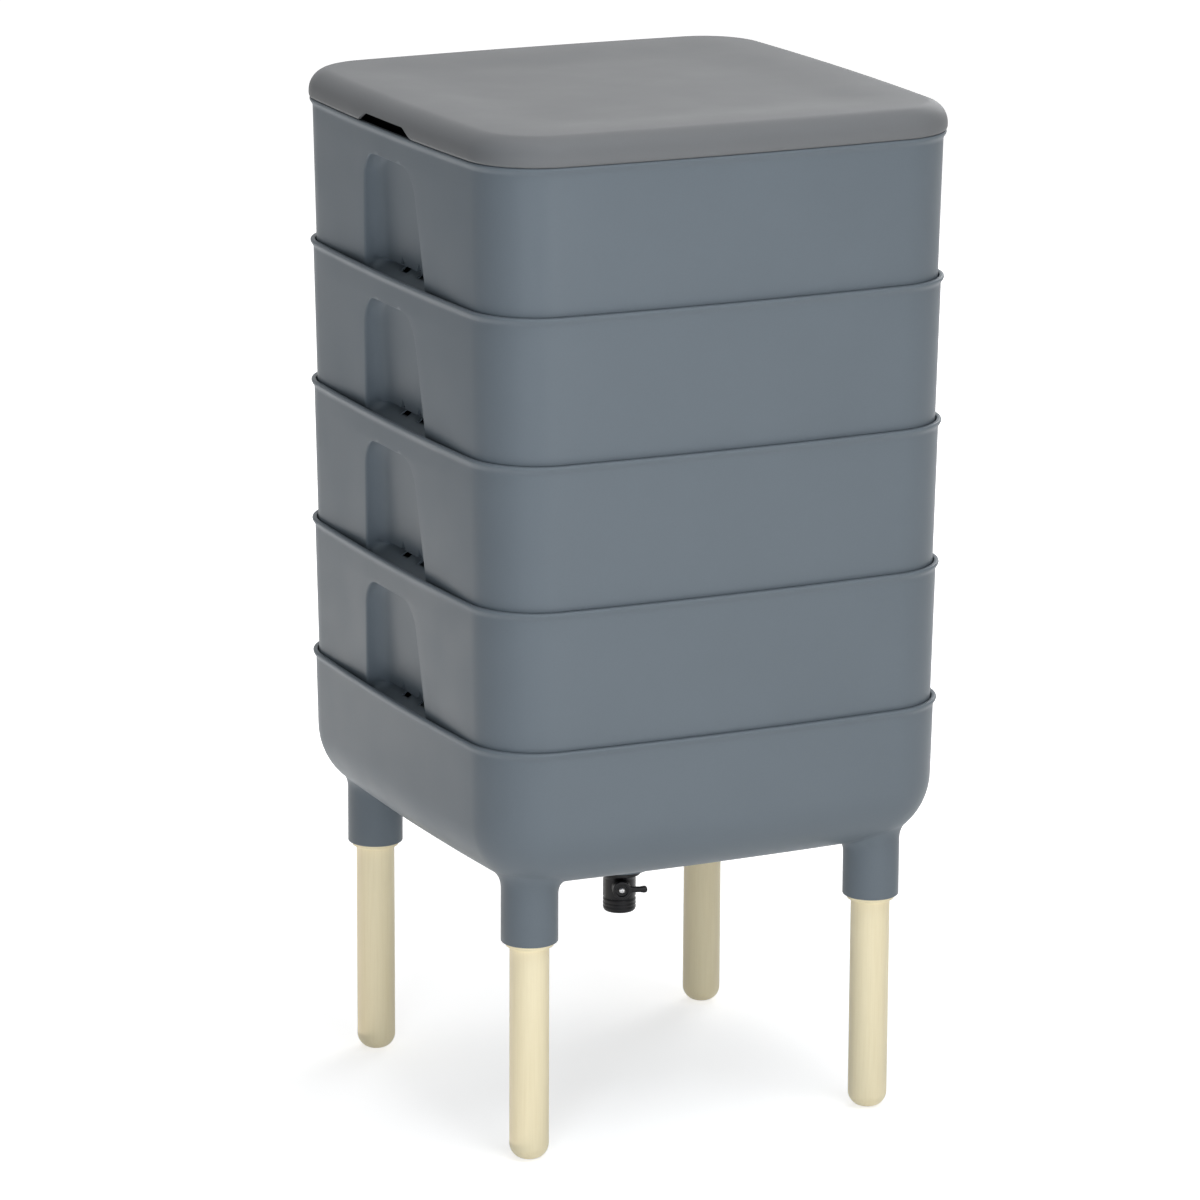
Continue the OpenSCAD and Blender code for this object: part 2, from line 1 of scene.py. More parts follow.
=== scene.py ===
import math
import bpy
import bmesh
from mathutils import Matrix, Vector


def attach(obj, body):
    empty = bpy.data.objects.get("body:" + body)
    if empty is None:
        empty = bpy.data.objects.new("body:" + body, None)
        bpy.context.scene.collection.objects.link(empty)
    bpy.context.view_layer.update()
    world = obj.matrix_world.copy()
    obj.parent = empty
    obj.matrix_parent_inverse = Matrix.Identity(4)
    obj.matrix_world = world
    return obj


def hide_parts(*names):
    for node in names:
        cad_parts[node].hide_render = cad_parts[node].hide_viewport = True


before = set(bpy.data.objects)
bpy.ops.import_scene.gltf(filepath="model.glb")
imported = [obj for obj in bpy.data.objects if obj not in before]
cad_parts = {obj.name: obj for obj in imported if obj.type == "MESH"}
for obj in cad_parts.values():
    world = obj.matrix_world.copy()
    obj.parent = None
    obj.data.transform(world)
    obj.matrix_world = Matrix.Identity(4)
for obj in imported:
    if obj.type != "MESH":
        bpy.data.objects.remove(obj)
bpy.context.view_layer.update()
print("frame loaded")

# Camera first. Lengths here are in metres, angles in degrees.
camera = {"toCamera": (-0.41852, -0.87318, 0.24980), "right": (0.90177, -0.43222, 0.0), "distance": 4.4854,
          "height": 0.364, "aside": -0.0153, "lens": 184.85, "sensor": 36.0, "clipEnd": 50.0, "roll": 0.28}


def placeCamera(view):
    back = Vector(view["toCamera"]).normalized()
    right = Vector(view["right"]).normalized()
    up = back.cross(right)
    target = Vector((0, 0, view["height"])) + right * view["aside"]
    lean = math.radians(view["roll"])
    upTurned = up * math.cos(lean) - right * math.sin(lean)
    rightTurned = right * math.cos(lean) + up * math.sin(lean)
    data = bpy.data.cameras.new("photoCamera")
    data.lens = view["lens"]
    data.sensor_width = view["sensor"]
    data.clip_end = view["clipEnd"]
    camObject = bpy.data.objects.new("photoCamera", data)
    bpy.context.scene.collection.objects.link(camObject)
    axes = Matrix((rightTurned, upTurned, back)).transposed().to_4x4()
    camObject.matrix_world = Matrix.Translation(target + back * view["distance"]) @ axes
    bpy.context.scene.camera = camObject


placeCamera(camera)
bpy.context.scene.view_settings.view_transform = "Standard"
print("camera placed")

# Outline of trays, base and lid: a square with round corners and slightly bowed sides, in millimetres
outline = {"rimHalf": 187.0, "sideBow": 3.5, "cornerR": 53.0, "cornerSteps": 22, "plainSteps": 12,
           "bead": 2.2, "beadDrop": 6.0, "step": 104.0, "draft": 2.36}
bowTurn = math.atan(2 * outline["sideBow"] / (outline["rimHalf"] - outline["sideBow"] - outline["cornerR"]))
cornerCentre = outline["rimHalf"] - outline["sideBow"] - outline["cornerR"] * math.cos(bowTurn)
draftRate = outline["draft"] / outline["step"]  # how far the walls lean in, for each millimetre down
meshing = {"startR": 100.0, "weld": 0.002, "gridWeld": 0.01, "gridSlack": 0.1, "mostReach": 0.49, "sharpFrom": 0.7,
           "bevelSteps": 3, "metre": 0.001}


def sideEnd(inset):
    return cornerCentre + (outline["cornerR"] - inset) * math.sin(bowTurn)


def sideOut(inset, along):
    return outline["rimHalf"] - inset - outline["sideBow"] * (along / sideEnd(inset)) ** 2


def quarterTurn(turn, x, y):
    return ((x, y), (-y, x), (-x, -y), (y, -x))[turn % 4]


def cornerPoint(turn, angle, inset):
    radius = outline["cornerR"] - inset
    return quarterTurn(turn, cornerCentre + radius * math.cos(angle), cornerCentre + radius * math.sin(angle))


def wallInset(drop):
    return outline["bead"] + (drop - outline["beadDrop"]) * draftRate


# One station is a place on the outline that every ring passes through
def plainStations():
    stations = []
    for turn in range(4):
        stations += evenStations("side", turn, outline["plainSteps"]) + cornerStations(turn)
    return stations


def evenStations(kind, turn, steps):
    return [(kind, turn, -1 + 2 * step / steps) for step in range(1, steps)]


def cornerStations(turn):
    steps = outline["cornerSteps"]
    sweep = math.pi / 2 - 2 * bowTurn
    return [("corner", turn, bowTurn + sweep * step / steps) for step in range(steps + 1)]


def plainPlace(station, inset):
    kind, turn, value = station
    if kind == "corner":
        return cornerPoint(turn, value, inset)
    along = value * sideEnd(inset)
    return quarterTurn(turn, sideOut(inset, along), along)


# Grows a closed tube of rings from a circle; every vertex remembers its station
def growRings(stations, rings, place):
    mesh = bmesh.new()
    mark = mesh.verts.layers.int.new("station")
    bmesh.ops.create_circle(mesh, segments=len(stations), radius=meshing["startR"])
    mesh.verts.ensure_lookup_table()
    for number, vert in enumerate(mesh.verts):
        vert[mark] = number
    loop = list(mesh.edges)
    for number, ring in enumerate(rings):
        if number:
            grown = bmesh.ops.extrude_edge_only(mesh, edges=loop)["geom"]
            loop = [item for item in grown if isinstance(item, bmesh.types.BMEdge)]
        for vert in {vert for edge in loop for vert in edge.verts}:
            vert.co = place(stations[vert[mark]], ring)
    bmesh.ops.remove_doubles(mesh, verts=mesh.verts, dist=meshing["weld"])
    mesh.verts.layers.int.remove(mesh.verts.layers.int["station"])
    bmesh.ops.recalc_face_normals(mesh, faces=mesh.faces)
    return mesh


# Rounds the corners of a profile given as (radius, height, corner radius)
def softCorners(points, steps=4, closed=False):
    line = []
    for number, point in enumerate(points):
        here = Vector(point[:2])
        radius = point[2] if len(point) > 2 else 0
        if not radius or (not closed and number in (0, len(points) - 1)):
            line.append(here)
            continue
        before = Vector(points[number - 1][:2]) - here
        after = Vector(points[(number + 1) % len(points)][:2]) - here
        most = min(before.length, after.length) * meshing["mostReach"]
        reach = min(radius / math.tan(before.angle(after) / 2), most)
        start, end = here + before.normalized() * reach, here + after.normalized() * reach
        for step in range(steps + 1):
            share = step / steps
            line.append(start * (1 - share) ** 2 + here * 2 * share * (1 - share) + end * share ** 2)
    return line


# Turns a profile about Z; a closed profile makes a ring, an open one ends on the axis
def turned(profile, steps=96, closed=False):
    mesh = bmesh.new()
    verts = [mesh.verts.new((point[0], 0, point[1])) for point in profile]
    pairs = list(zip(verts, verts[1:])) + ([(verts[-1], verts[0])] if closed else [])
    edges = [mesh.edges.new(pair) for pair in pairs]
    bmesh.ops.spin(mesh, geom=verts + edges, cent=(0, 0, 0), axis=(0, 0, 1), dvec=(0, 0, 0),
                   angle=math.tau, steps=steps, use_merge=True, use_duplicate=False)
    bmesh.ops.remove_doubles(mesh, verts=mesh.verts, dist=meshing["weld"])
    bmesh.ops.recalc_face_normals(mesh, faces=mesh.faces)
    return mesh


def isVert(item):
    return isinstance(item, bmesh.types.BMVert)


# A flat shape pushed out to a thickness along Z
def pushedOut(points, height, edge=0.0):
    mesh = bmesh.new()
    face = mesh.faces.new([mesh.verts.new((point[0], point[1], 0)) for point in points])
    grown = bmesh.ops.extrude_face_region(mesh, geom=[face], use_keep_orig=True)["geom"]
    bmesh.ops.translate(mesh, vec=(0, 0, height), verts=list(filter(isVert, grown)))
    bmesh.ops.recalc_face_normals(mesh, faces=mesh.faces)
    if edge:
        sharp = [item for item in mesh.edges if item.calc_face_angle(0) > meshing["sharpFrom"]]
        bmesh.ops.bevel(mesh, geom=sharp, offset=edge, segments=meshing["bevelSteps"], affect="EDGES",
                        profile=0.5, material=-1)
    return mesh


def oblong(half, foot, top):
    return [(-half, foot), (half, foot), (half, top), (-half, top)]


def quarterAbout(axis):
    return Matrix.Rotation(math.pi / 2, 4, axis)


# Stands a shape drawn in XY upright, facing out along X at a place, then turns it about Z
def stoodUp(angle, place):
    return Matrix.Rotation(angle, 4, "Z") @ Matrix.Translation(place) @ quarterAbout("Z") @ quarterAbout("X")


def moveBy(mesh, matrix):
    bmesh.ops.transform(mesh, matrix=matrix, verts=mesh.verts)


def joinInto(target, source, matrix=None):
    if matrix is not None:
        moveBy(source, matrix)
    carrier = bpy.data.meshes.new("carrier")
    source.to_mesh(carrier)
    source.free()
    target.from_mesh(carrier)
    bpy.data.meshes.remove(carrier)


# Cuts one mesh out of another with a boolean that is applied at once
def cutOut(mesh, cutter):
    holders = []
    for source in (mesh, cutter):
        data = bpy.data.meshes.new("holder")
        source.to_mesh(data)
        source.free()
        holder = bpy.data.objects.new("holder", data)
        bpy.context.scene.collection.objects.link(holder)
        holders.append(holder)
    cut = holders[0].modifiers.new("cut", "BOOLEAN")
    cut.operation = "DIFFERENCE"
    cut.solver = "EXACT"
    cut.object = holders[1]
    bpy.context.view_layer.update()
    shaped = bpy.data.meshes.new_from_object(holders[0].evaluated_get(bpy.context.evaluated_depsgraph_get()))
    result = bmesh.new()
    result.from_mesh(shaped)
    bpy.data.meshes.remove(shaped)
    for holder in holders:
        data = holder.data
        bpy.data.objects.remove(holder)
        bpy.data.meshes.remove(data)
    return result


# Scales a mesh to metres and makes it a piece that rides on a body and stands for a CAD node
def addPiece(mesh, name, material, body, node, sharpAngle=38):
    bmesh.ops.scale(mesh, vec=[meshing["metre"]] * 3, verts=mesh.verts)
    data = bpy.data.meshes.new(name)
    mesh.to_mesh(data)
    mesh.free()
    data.materials.clear()
    data.materials.append(material)
    data.shade_smooth()
    data.set_sharp_from_angle(angle=math.radians(sharpAngle))
    piece = bpy.data.objects.new(name, data)
    bpy.context.scene.collection.objects.link(piece)
    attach(piece, body)
    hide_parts(node)


# Materials. Colours are linear; grain sizes are in millimetres.
noiseSpan = (0.3, 0.7)  # most of a noise's values lie between these
plainWhite = (1.0, 1.0, 1.0)


def startMaterial(name):
    material = bpy.data.materials.new(name)
    material.use_nodes = True
    tree = material.node_tree
    tree.nodes.clear()
    shader = tree.nodes.new("ShaderNodeBsdfPrincipled")
    output = tree.nodes.new("ShaderNodeOutputMaterial")
    tree.links.new(shader.outputs["BSDF"], output.inputs["Surface"])
    place = tree.nodes.new("ShaderNodeTexCoord")
    return material, tree, shader, place.outputs["Object"]


def noise(tree, place, grain, detail=3.0, roughness=0.5, stretch=None):
    if stretch:
        mapping = tree.nodes.new("ShaderNodeMapping")
        mapping.inputs["Scale"].default_value = stretch
        tree.links.new(place, mapping.inputs["Vector"])
        place = mapping.outputs["Vector"]
    node = tree.nodes.new("ShaderNodeTexNoise")
    node.inputs["Scale"].default_value = 1000.0 / grain
    node.inputs["Detail"].default_value = detail
    node.inputs["Roughness"].default_value = roughness
    tree.links.new(place, node.inputs["Vector"])
    return node.outputs["Fac"]


def ramp(tree, value, stops):
    node = tree.nodes.new("ShaderNodeValToRGB")
    while len(node.color_ramp.elements) < len(stops):
        node.color_ramp.elements.new(0.5)
    for element, (position, colour) in zip(node.color_ramp.elements, stops):
        element.position = position
        element.color = (*colour, 1.0)
    tree.links.new(value, node.inputs["Fac"])
    return node.outputs["Color"]


def twoTone(tree, value, low, high):
    return ramp(tree, value, [(noiseSpan[0], low), (noiseSpan[1], high)])


def spread(tree, value, low, high):
    node = tree.nodes.new("ShaderNodeMapRange")
    node.inputs["From Min"].default_value, node.inputs["From Max"].default_value = noiseSpan
    node.inputs["To Min"].default_value = low
    node.inputs["To Max"].default_value = high
    tree.links.new(value, node.inputs["Value"])
    return node.outputs["Result"]


def bump(tree, shader, value, strength, depth):
    node = tree.nodes.new("ShaderNodeBump")
    node.inputs["Strength"].default_value = strength
    node.inputs["Distance"].default_value = depth / 1000.0
    tree.links.new(value, node.inputs["Height"])
    last = shader.inputs["Normal"].links
    if last:
        tree.links.new(last[0].from_socket, node.inputs["Normal"])
    tree.links.new(node.outputs["Normal"], shader.inputs["Normal"])


def shaded(colour, factor):
    return tuple(channel * factor for channel in colour)


def multiplied(tree, first, second):
    mix = tree.nodes.new("ShaderNodeMix")
    mix.data_type = "RGBA"
    mix.blend_type = "MULTIPLY"
    mix.inputs["Factor"].default_value = 1.0
    tree.links.new(first, mix.inputs["A"])
    tree.links.new(second, mix.inputs["B"])
    return mix.outputs["Result"]


def mouldedPlastic(name, look):
    material, tree, shader, place = startMaterial(name)
    clouds = noise(tree, place, look["cloud"], detail=4.0, roughness=0.55)
    specks = noise(tree, place, look["speck"], detail=2.0, roughness=0.7)
    patches = noise(tree, place, look["cloud"] / 2, detail=3.0)
    tone = twoTone(tree, clouds, shaded(look["colour"], 1 - look["vary"]), shaded(look["colour"], 1 + look["vary"]))
    speckTone = twoTone(tree, specks, shaded(plainWhite, 1 - 2 * look["speckVary"]), plainWhite)
    tree.links.new(multiplied(tree, tone, speckTone), shader.inputs["Base Color"])
    tree.links.new(spread(tree, patches, *look["rough"]), shader.inputs["Roughness"])
    shader.inputs["Specular IOR Level"].default_value = look["specular"]
    grain = noise(tree, place, look["grain"], detail=2.0, roughness=0.6)
    bump(tree, shader, grain, look["grainStrength"], look["grainDepth"])
    return material


greyLook = {"colour": (0.158, 0.186, 0.211), "vary": 0.018, "cloud": 70.0, "speck": 1.1, "speckVary": 0.014,
            "rough": (0.38, 0.44), "specular": 0.12, "grain": 0.9, "grainStrength": 0.3, "grainDepth": 0.05}
lidLook = {"colour": (0.188, 0.193, 0.199), "vary": 0.018, "cloud": 90.0, "speck": 1.1, "speckVary": 0.012,
           "rough": (0.44, 0.50), "specular": 0.12, "grain": 0.8, "grainStrength": 0.35, "grainDepth": 0.06}
blackLook = {"colour": (0.006, 0.006, 0.0075), "vary": 0.12, "cloud": 12.0, "speck": 0.6, "speckVary": 0.04,
             "rough": (0.30, 0.38), "specular": 0.22, "grain": 0.5, "grainStrength": 0.3, "grainDepth": 0.03}
rubberLook = {"colour": (0.016, 0.016, 0.016), "vary": 0.15, "cloud": 8.0, "speck": 0.5, "speckVary": 0.05,
              "rough": (0.62, 0.74), "specular": 0.4, "grain": 0.35, "grainStrength": 0.4, "grainDepth": 0.03}
whiteLook = {"colour": (0.78, 0.78, 0.74), "vary": 0.02, "cloud": 10.0, "speck": 0.6, "speckVary": 0.01,
             "rough": (0.25, 0.32), "specular": 0.5, "grain": 0.4, "grainStrength": 0.15, "grainDepth": 0.02}
greyPlastic = mouldedPlastic("greyPlastic", greyLook)
lidPlastic = mouldedPlastic("lidPlastic", lidLook)
blackPlastic = mouldedPlastic("blackPlastic", blackLook)
darkRubber = mouldedPlastic("darkRubber", rubberLook)
whitePlastic = mouldedPlastic("whitePlastic", whiteLook)

woodLook = {"light": (0.95, 0.84, 0.57), "dark": (0.925, 0.81, 0.535), "grain": 1.3, "broad": 20.0,
            "broadTone": (0.97, 0.96, 0.94), "rough": (0.50, 0.42), "coat": 0.2, "coatRough": 0.3,
            "pore": 0.45, "poreStrength": 0.1, "poreDepth": 0.04}


def turnedWood(name, look):
    material, tree, shader, place = startMaterial(name)
    streaks = noise(tree, place, look["grain"], detail=4.0, roughness=0.55, stretch=(1.0, 1.0, 0.03))
    broad = noise(tree, place, look["broad"], detail=3.0, roughness=0.5, stretch=(1.0, 1.0, 0.1))
    pores = noise(tree, place, look["pore"], detail=3.0, roughness=0.6, stretch=(1.0, 1.0, 0.05))
    grain = ramp(tree, streaks, [(0.3, look["dark"]), (0.5, look["light"]), (0.8, shaded(look["light"], 1.03))])
    bands = twoTone(tree, broad, look["broadTone"], plainWhite)
    tree.links.new(multiplied(tree, grain, bands), shader.inputs["Base Color"])
    tree.links.new(spread(tree, streaks, *look["rough"]), shader.inputs["Roughness"])
    shader.inputs["Coat Weight"].default_value = look["coat"]
    shader.inputs["Coat Roughness"].default_value = look["coatRough"]
    bump(tree, shader, pores, look["poreStrength"], look["poreDepth"])
    return material


paleWood = turnedWood("paleWood", woodLook)

steelLook = {"colour": (0.52, 0.52, 0.53), "lines": 0.25, "lineShade": 0.9, "rough": (0.34, 0.44)}


def brushedSteel(name, look):
    material, tree, shader, place = startMaterial(name)
    lines = noise(tree, place, look["lines"], detail=3.0, roughness=0.6, stretch=(1.0, 1.0, 0.2))
    tone = twoTone(tree, lines, shaded(look["colour"], look["lineShade"]), look["colour"])
    tree.links.new(tone, shader.inputs["Base Color"])
    tree.links.new(spread(tree, lines, *look["rough"]), shader.inputs["Roughness"])
    shader.inputs["Metallic"].default_value = 1.0
    return material


plainSteel = brushedSteel("plainSteel", steelLook)
print("materials made")

# Tray: wall with a bead, hand recesses in two sides, a perforated floor and seats for the next tray
tray = {"height": 124.0, "floor": 3.0, "footR": 4.0, "wall": 2.3, "rimWall": 1.5, "border": 34.0,
        "undersides": (288.0, 392.0, 496.0, 600.0), "curveSteps": 6, "widen": 0.8,
        "holeD": 9.0, "holeSides": 16, "holePitch": 26.0, "holeCount": 11, "sheet": 2.4, "sheetLap": 4.25}
recess = {"drop": 20.5, "roofDepth": 10.0, "footDepth": 15.0, "roofHalf": 43.0, "footHalf": 56.0,
          "archHigh": 20.0, "archWide": 19.0, "soft": 15.0, "softMost": 0.6, "roofSoft": 4.5, "turn": 84.0,
          "convexShare": 0.14, "convexSteps": 8, "hollowSteps": 6, "outerSteps": 8, "backSteps": 8, "ease": 3.5,
          "grooveDrop": 100.4, "groove": 4.0, "shelfDrop": 102.8, "shelfEnd": 112.0, "shelfDepth": 4.0}
# The bead as (drop below the rim, inset), and the drops of the other rings
beadProfile = [(6.6, 2.21), (5.5, 2.05), (4.5, 1.62), (3.6, 1.0), (2.8, 0.48), (2.1, 0.16), (1.4, 0.0), (0.8, 0.06),
               (0.35, 0.3), (0.09, 0.72), (0.0, 1.25), (0.0, 2.7), (0.12, 3.15), (0.5, 3.45)]
trayDrops = {
    "outer": (116, 112, 109, 106, 102.8, 101.4, 100.4, 97, 88, 79, 70, 62, 55, 49, 44, 40, 37, 34.5, 32, 30, 28.2,
              26.8, 25.5, 24.9, 24.2, 23.6, 23.0, 22.4, 21.9, 21.4, 20.9, 20.5, 18, 14, 10, 8),
    "lip": (1.5, 4, 8, 12, 16, 19, 19.6, 20.2, 20.8, 21.4, 22, 22.6, 23.2, 24, 25.5, 27.2, 29.5),
    "inner": (31.1, 34, 37.5, 42, 48, 56, 66, 78, 90, 100.4, 101.4, 102.8, 108)}


# Share of the depth reached at a share of the soft side: a tight outer rounding, then a wide hollow
def softShare(share):
    turn = math.radians(recess["turn"])
    bend = recess["convexShare"]
    if share <= 0:
        return 0.0
    if share >= 1:
        return 1.0
    if share < bend:
        angle = math.asin(share / bend * math.sin(turn))
        return bend * (1 - math.cos(angle)) / (1 - math.cos(turn))
    angle = math.asin((1 - share) / (1 - bend) * math.sin(turn))
    return 1 - (1 - bend) * (1 - math.cos(angle)) / (1 - math.cos(turn))


def softStops():
    turn = math.radians(recess["turn"])
    bend, convex, hollow = recess["convexShare"], recess["convexSteps"], recess["hollowSteps"]
    stops = [bend * math.sin(turn * step / convex) / math.sin(turn) for step in range(1, convex + 1)]
    stops += [1 - (1 - bend) * math.sin(turn * step / hollow) / math.sin(turn) for step in range(hollow - 1, -1, -1)]
    return stops


def clamped(share):
    return max(0.0, min(1.0, share))


def downShare(drop):
    return clamped((drop - recess["drop"]) / (tray["height"] - recess["drop"]))


def recessHalf(drop):
    up = clamped(1 - (drop - recess["drop"]) / recess["archHigh"])
    arch = recess["archWide"] * (1 - math.sqrt(1 - up * up))
    return recess["roofHalf"] + (recess["footHalf"] - recess["roofHalf"]) * downShare(drop) - arch


# The wall eases inwards towards the recess, whose foot has a groove and below it a sloping shelf
def recessEase(drop):
    return recess["ease"] * downShare(drop)


def recessDepth(drop, roof):
    full = recess["roofDepth"] + (recess["footDepth"] - recess["roofDepth"]) * downShare(drop)
    full += recess["groove"] * clamped(drop - recess["grooveDrop"])
    down = clamped((drop - recess["shelfDrop"]) / (recess["shelfEnd"] - recess["shelfDrop"]))
    full += (recess["shelfDepth"] - full) * down
    return full * softShare((drop - roof) / recess["roofSoft"])


def trayStations():
    stations = []
    stops = softStops()
    for turn in range(4):
        if turn % 2:
            stations += evenStations("side", turn, outline["plainSteps"])
        else:
            half = [("far", turn, -1 + step / recess["outerSteps"]) for step in range(1, recess["outerSteps"])]
            half += [("soft", turn, -stop) for stop in [0.0001] + stops]  # the first is the recess's edge itself
            stations += half + evenStations("back", turn, recess["backSteps"])
            stations += [(kind, side, -value) for kind, side, value in reversed(half)]
        stations += cornerStations(turn)
    return stations


# A tray ring is (drop below the rim, inset, roof of the recess, spread of its width, depth share)
def trayPlace(station, ring):
    drop, inset, roof, widen, deep = ring
    kind, turn, value = station
    z = tray["height"] - drop
    if kind in ("corner", "side"):
        return (*plainPlace(station, inset), z)
    half = recessHalf(drop) + widen
    soft = min(recess["soft"], recess["softMost"] * half)
    sign = math.copysign(1.0, value)
    near = 1.0
    if kind == "far":
        along, share = sign * (half + (sideEnd(inset) - half) * abs(value)), 0.0
        near = (1 - abs(value)) ** 2 * (1 + 2 * abs(value))
    elif kind == "soft":
        along, share = sign * (half - soft * abs(value)), softShare(abs(value))
    else:
        along, share = value * (half - soft), 1.0
    deeper = deep * (share * recessDepth(drop, roof) + near * recessEase(drop))
    return (*quarterTurn(turn, sideOut(inset, along) - deeper, along), z)


def trayRings():
    rings = []
    outer = (recess["drop"], 0.0, 1.0)
    inner = (recess["drop"] - tray["rimWall"], tray["wall"] * tray["widen"], 1.0)
    footInset, footR, steps = wallInset(tray["height"]), tray["footR"], tray["curveSteps"]
    for step in range(steps + 1):
        angle = math.pi / 2 * step / steps
        drop = tray["height"] - footR + footR * math.cos(angle)
        rings.append((drop, footInset + footR * (1 - math.sin(angle)), *outer))
    rings += [(drop, wallInset(drop), *outer) for drop in trayDrops["outer"]]
    rings += [(drop, inset, *outer) for drop, inset in beadProfile]
    rings += [(drop, wallInset(drop) + tray["rimWall"], *inner) for drop in trayDrops["lip"]]
    rings += [(drop, wallInset(drop) + tray["wall"], *inner) for drop in trayDrops["inner"]]
    floorDrop, hollowR = tray["height"] - tray["floor"], 2 * footR
    for step in range(steps + 1):
        angle = math.pi / 2 * (1 - step / steps)
        drop = floorDrop - hollowR * (1 - math.cos(angle))
        rings.append((drop, footInset + tray["wall"] + hollowR * (1 - math.sin(angle)), *inner))
    border = footInset + tray["border"]
    rings += [(floorDrop, border, *inner[:2], 0.0), (tray["height"], border, *outer[:2], 0.0)]
    return rings + [rings[0]]


# Perforated sheet: one cell with a round hole, repeated and joined
def perforatedSheet():
    mesh = bmesh.new()
    pitch, count = tray["holePitch"], tray["holeCount"]
    bmesh.ops.create_circle(mesh, segments=tray["holeSides"], radius=tray["holeD"] / 2)
    moveBy(mesh, Matrix.Rotation(math.pi / tray["holeSides"], 4, "Z"))
    inner = list(mesh.edges)
    grown = bmesh.ops.extrude_edge_only(mesh, edges=inner)["geom"]
    for vert in filter(isVert, grown):
        widest = max(abs(vert.co.x), abs(vert.co.y))
        vert.co = vert.co * (pitch / 2 / widest)
    for axis in ((1, 0, 0), (0, 1, 0)):
        geometry = list(mesh.verts) + list(mesh.edges) + list(mesh.faces)
        for step in range(1, count):
            copy = bmesh.ops.duplicate(mesh, geom=geometry)["geom"]
            bmesh.ops.translate(mesh, vec=Vector(axis) * pitch * step, verts=list(filter(isVert, copy)))
    shift = -pitch * (count - 1) / 2
    bmesh.ops.translate(mesh, vec=(shift, shift, 0), verts=mesh.verts)
    bmesh.ops.remove_doubles(mesh, verts=mesh.verts, dist=meshing["gridWeld"])
    edge = pitch * count / 2
    reach = outline["rimHalf"] - wallInset(tray["height"]) - tray["border"] + tray["sheetLap"]
    rim = [item for item in mesh.edges if item.is_boundary
           and min(max(abs(vert.co.x), abs(vert.co.y)) for vert in item.verts) > edge - meshing["gridSlack"]]
    grown = bmesh.ops.extrude_edge_only(mesh, edges=rim)["geom"]
    bmesh.ops.scale(mesh, vec=(reach / edge, reach / edge, 1), verts=list(filter(isVert, grown)))
    grown = bmesh.ops.extrude_face_region(mesh, geom=list(mesh.faces), use_keep_orig=True)["geom"]
    bmesh.ops.translate(mesh, vec=(0, 0, tray["sheet"]), verts=list(filter(isVert, grown)))
    bmesh.ops.translate(mesh, vec=(0, 0, (tray["floor"] - tray["sheet"]) / 2), verts=mesh.verts)
    bmesh.ops.recalc_face_normals(mesh, faces=mesh.faces)
    return mesh


seat = {"thick": 3.0, "edge": 0.4, "length": 14.0, "height": 34.0, "frontPlace": 0.85, "sidePlace": 0.38,
        "trayDrop": 20.0, "baseDrop": 23.5}


# Gussets inside a wall, their flat tops at topZ, at a distance below the rim
def addSeats(mesh, topZ, drop):
    for turn in range(4):
        place = cornerCentre * seat["frontPlace"] if turn % 2 == 0 else outline["rimHalf"] * seat["sidePlace"]
        for along in (-place, place):
            out = sideOut(wallInset(drop) + tray["rimWall"] / 2, along)
            shape = [(out, topZ), (out - seat["length"], topZ), (out - seat["length"], topZ - seat["thick"]),
                     (out - seat["height"] * draftRate, topZ - seat["height"])]
            plate = pushedOut(shape, seat["thick"], seat["edge"])
            aside = Matrix.Translation((0, along + seat["thick"] / 2, 0)) @ quarterAbout("X")
            joinInto(mesh, plate, Matrix.Rotation(math.pi / 2 * turn, 4, "Z") @ aside)


vent = {"places": (-14.5, 14.5), "foot": 18.0, "top": 30.5, "width": 11.0, "pointShare": 0.75,
        "start": 156.0, "depth": 16.0,
        "shares": ((-1, 0), (-0.5, 0.4), (-0.2, 0.68), (0, 1), (0.2, 0.68), (0.5, 0.4), (1, 0))}


def ventCutter():
    mesh = bmesh.new()
    pointH = vent["width"] * vent["pointShare"]
    shape = [(-vent["width"] / 2, vent["foot"])]
    shape += [(x * vent["width"] / 2, vent["top"] - pointH + y * pointH) for x, y in vent["shares"]]
    shape += [(vent["width"] / 2, vent["foot"])]
    for turn in (0, 2):
        for place in vent["places"]:
            spike = pushedOut([(x + place, z) for x, z in shape], vent["depth"])
            joinInto(mesh, spike, stoodUp(math.pi / 2 * turn, (vent["start"], 0, 0)))
    return mesh


trayMesh = growRings(trayStations(), trayRings(), trayPlace)
trayMesh = cutOut(trayMesh, ventCutter())
joinInto(trayMesh, perforatedSheet())
addSeats(trayMesh, tray["height"] - seat["trayDrop"], seat["trayDrop"])
for number, underside in enumerate(tray["undersides"], 1):
    copyMesh = trayMesh.copy()
    bmesh.ops.translate(copyMesh, vec=(0, 0, underside), verts=copyMesh.verts)
    addPiece(copyMesh, f"trayMoulding{number}", greyPlastic, f"tray_{number}", f"tray_{number}")
trayMesh.free()
print("trays made")

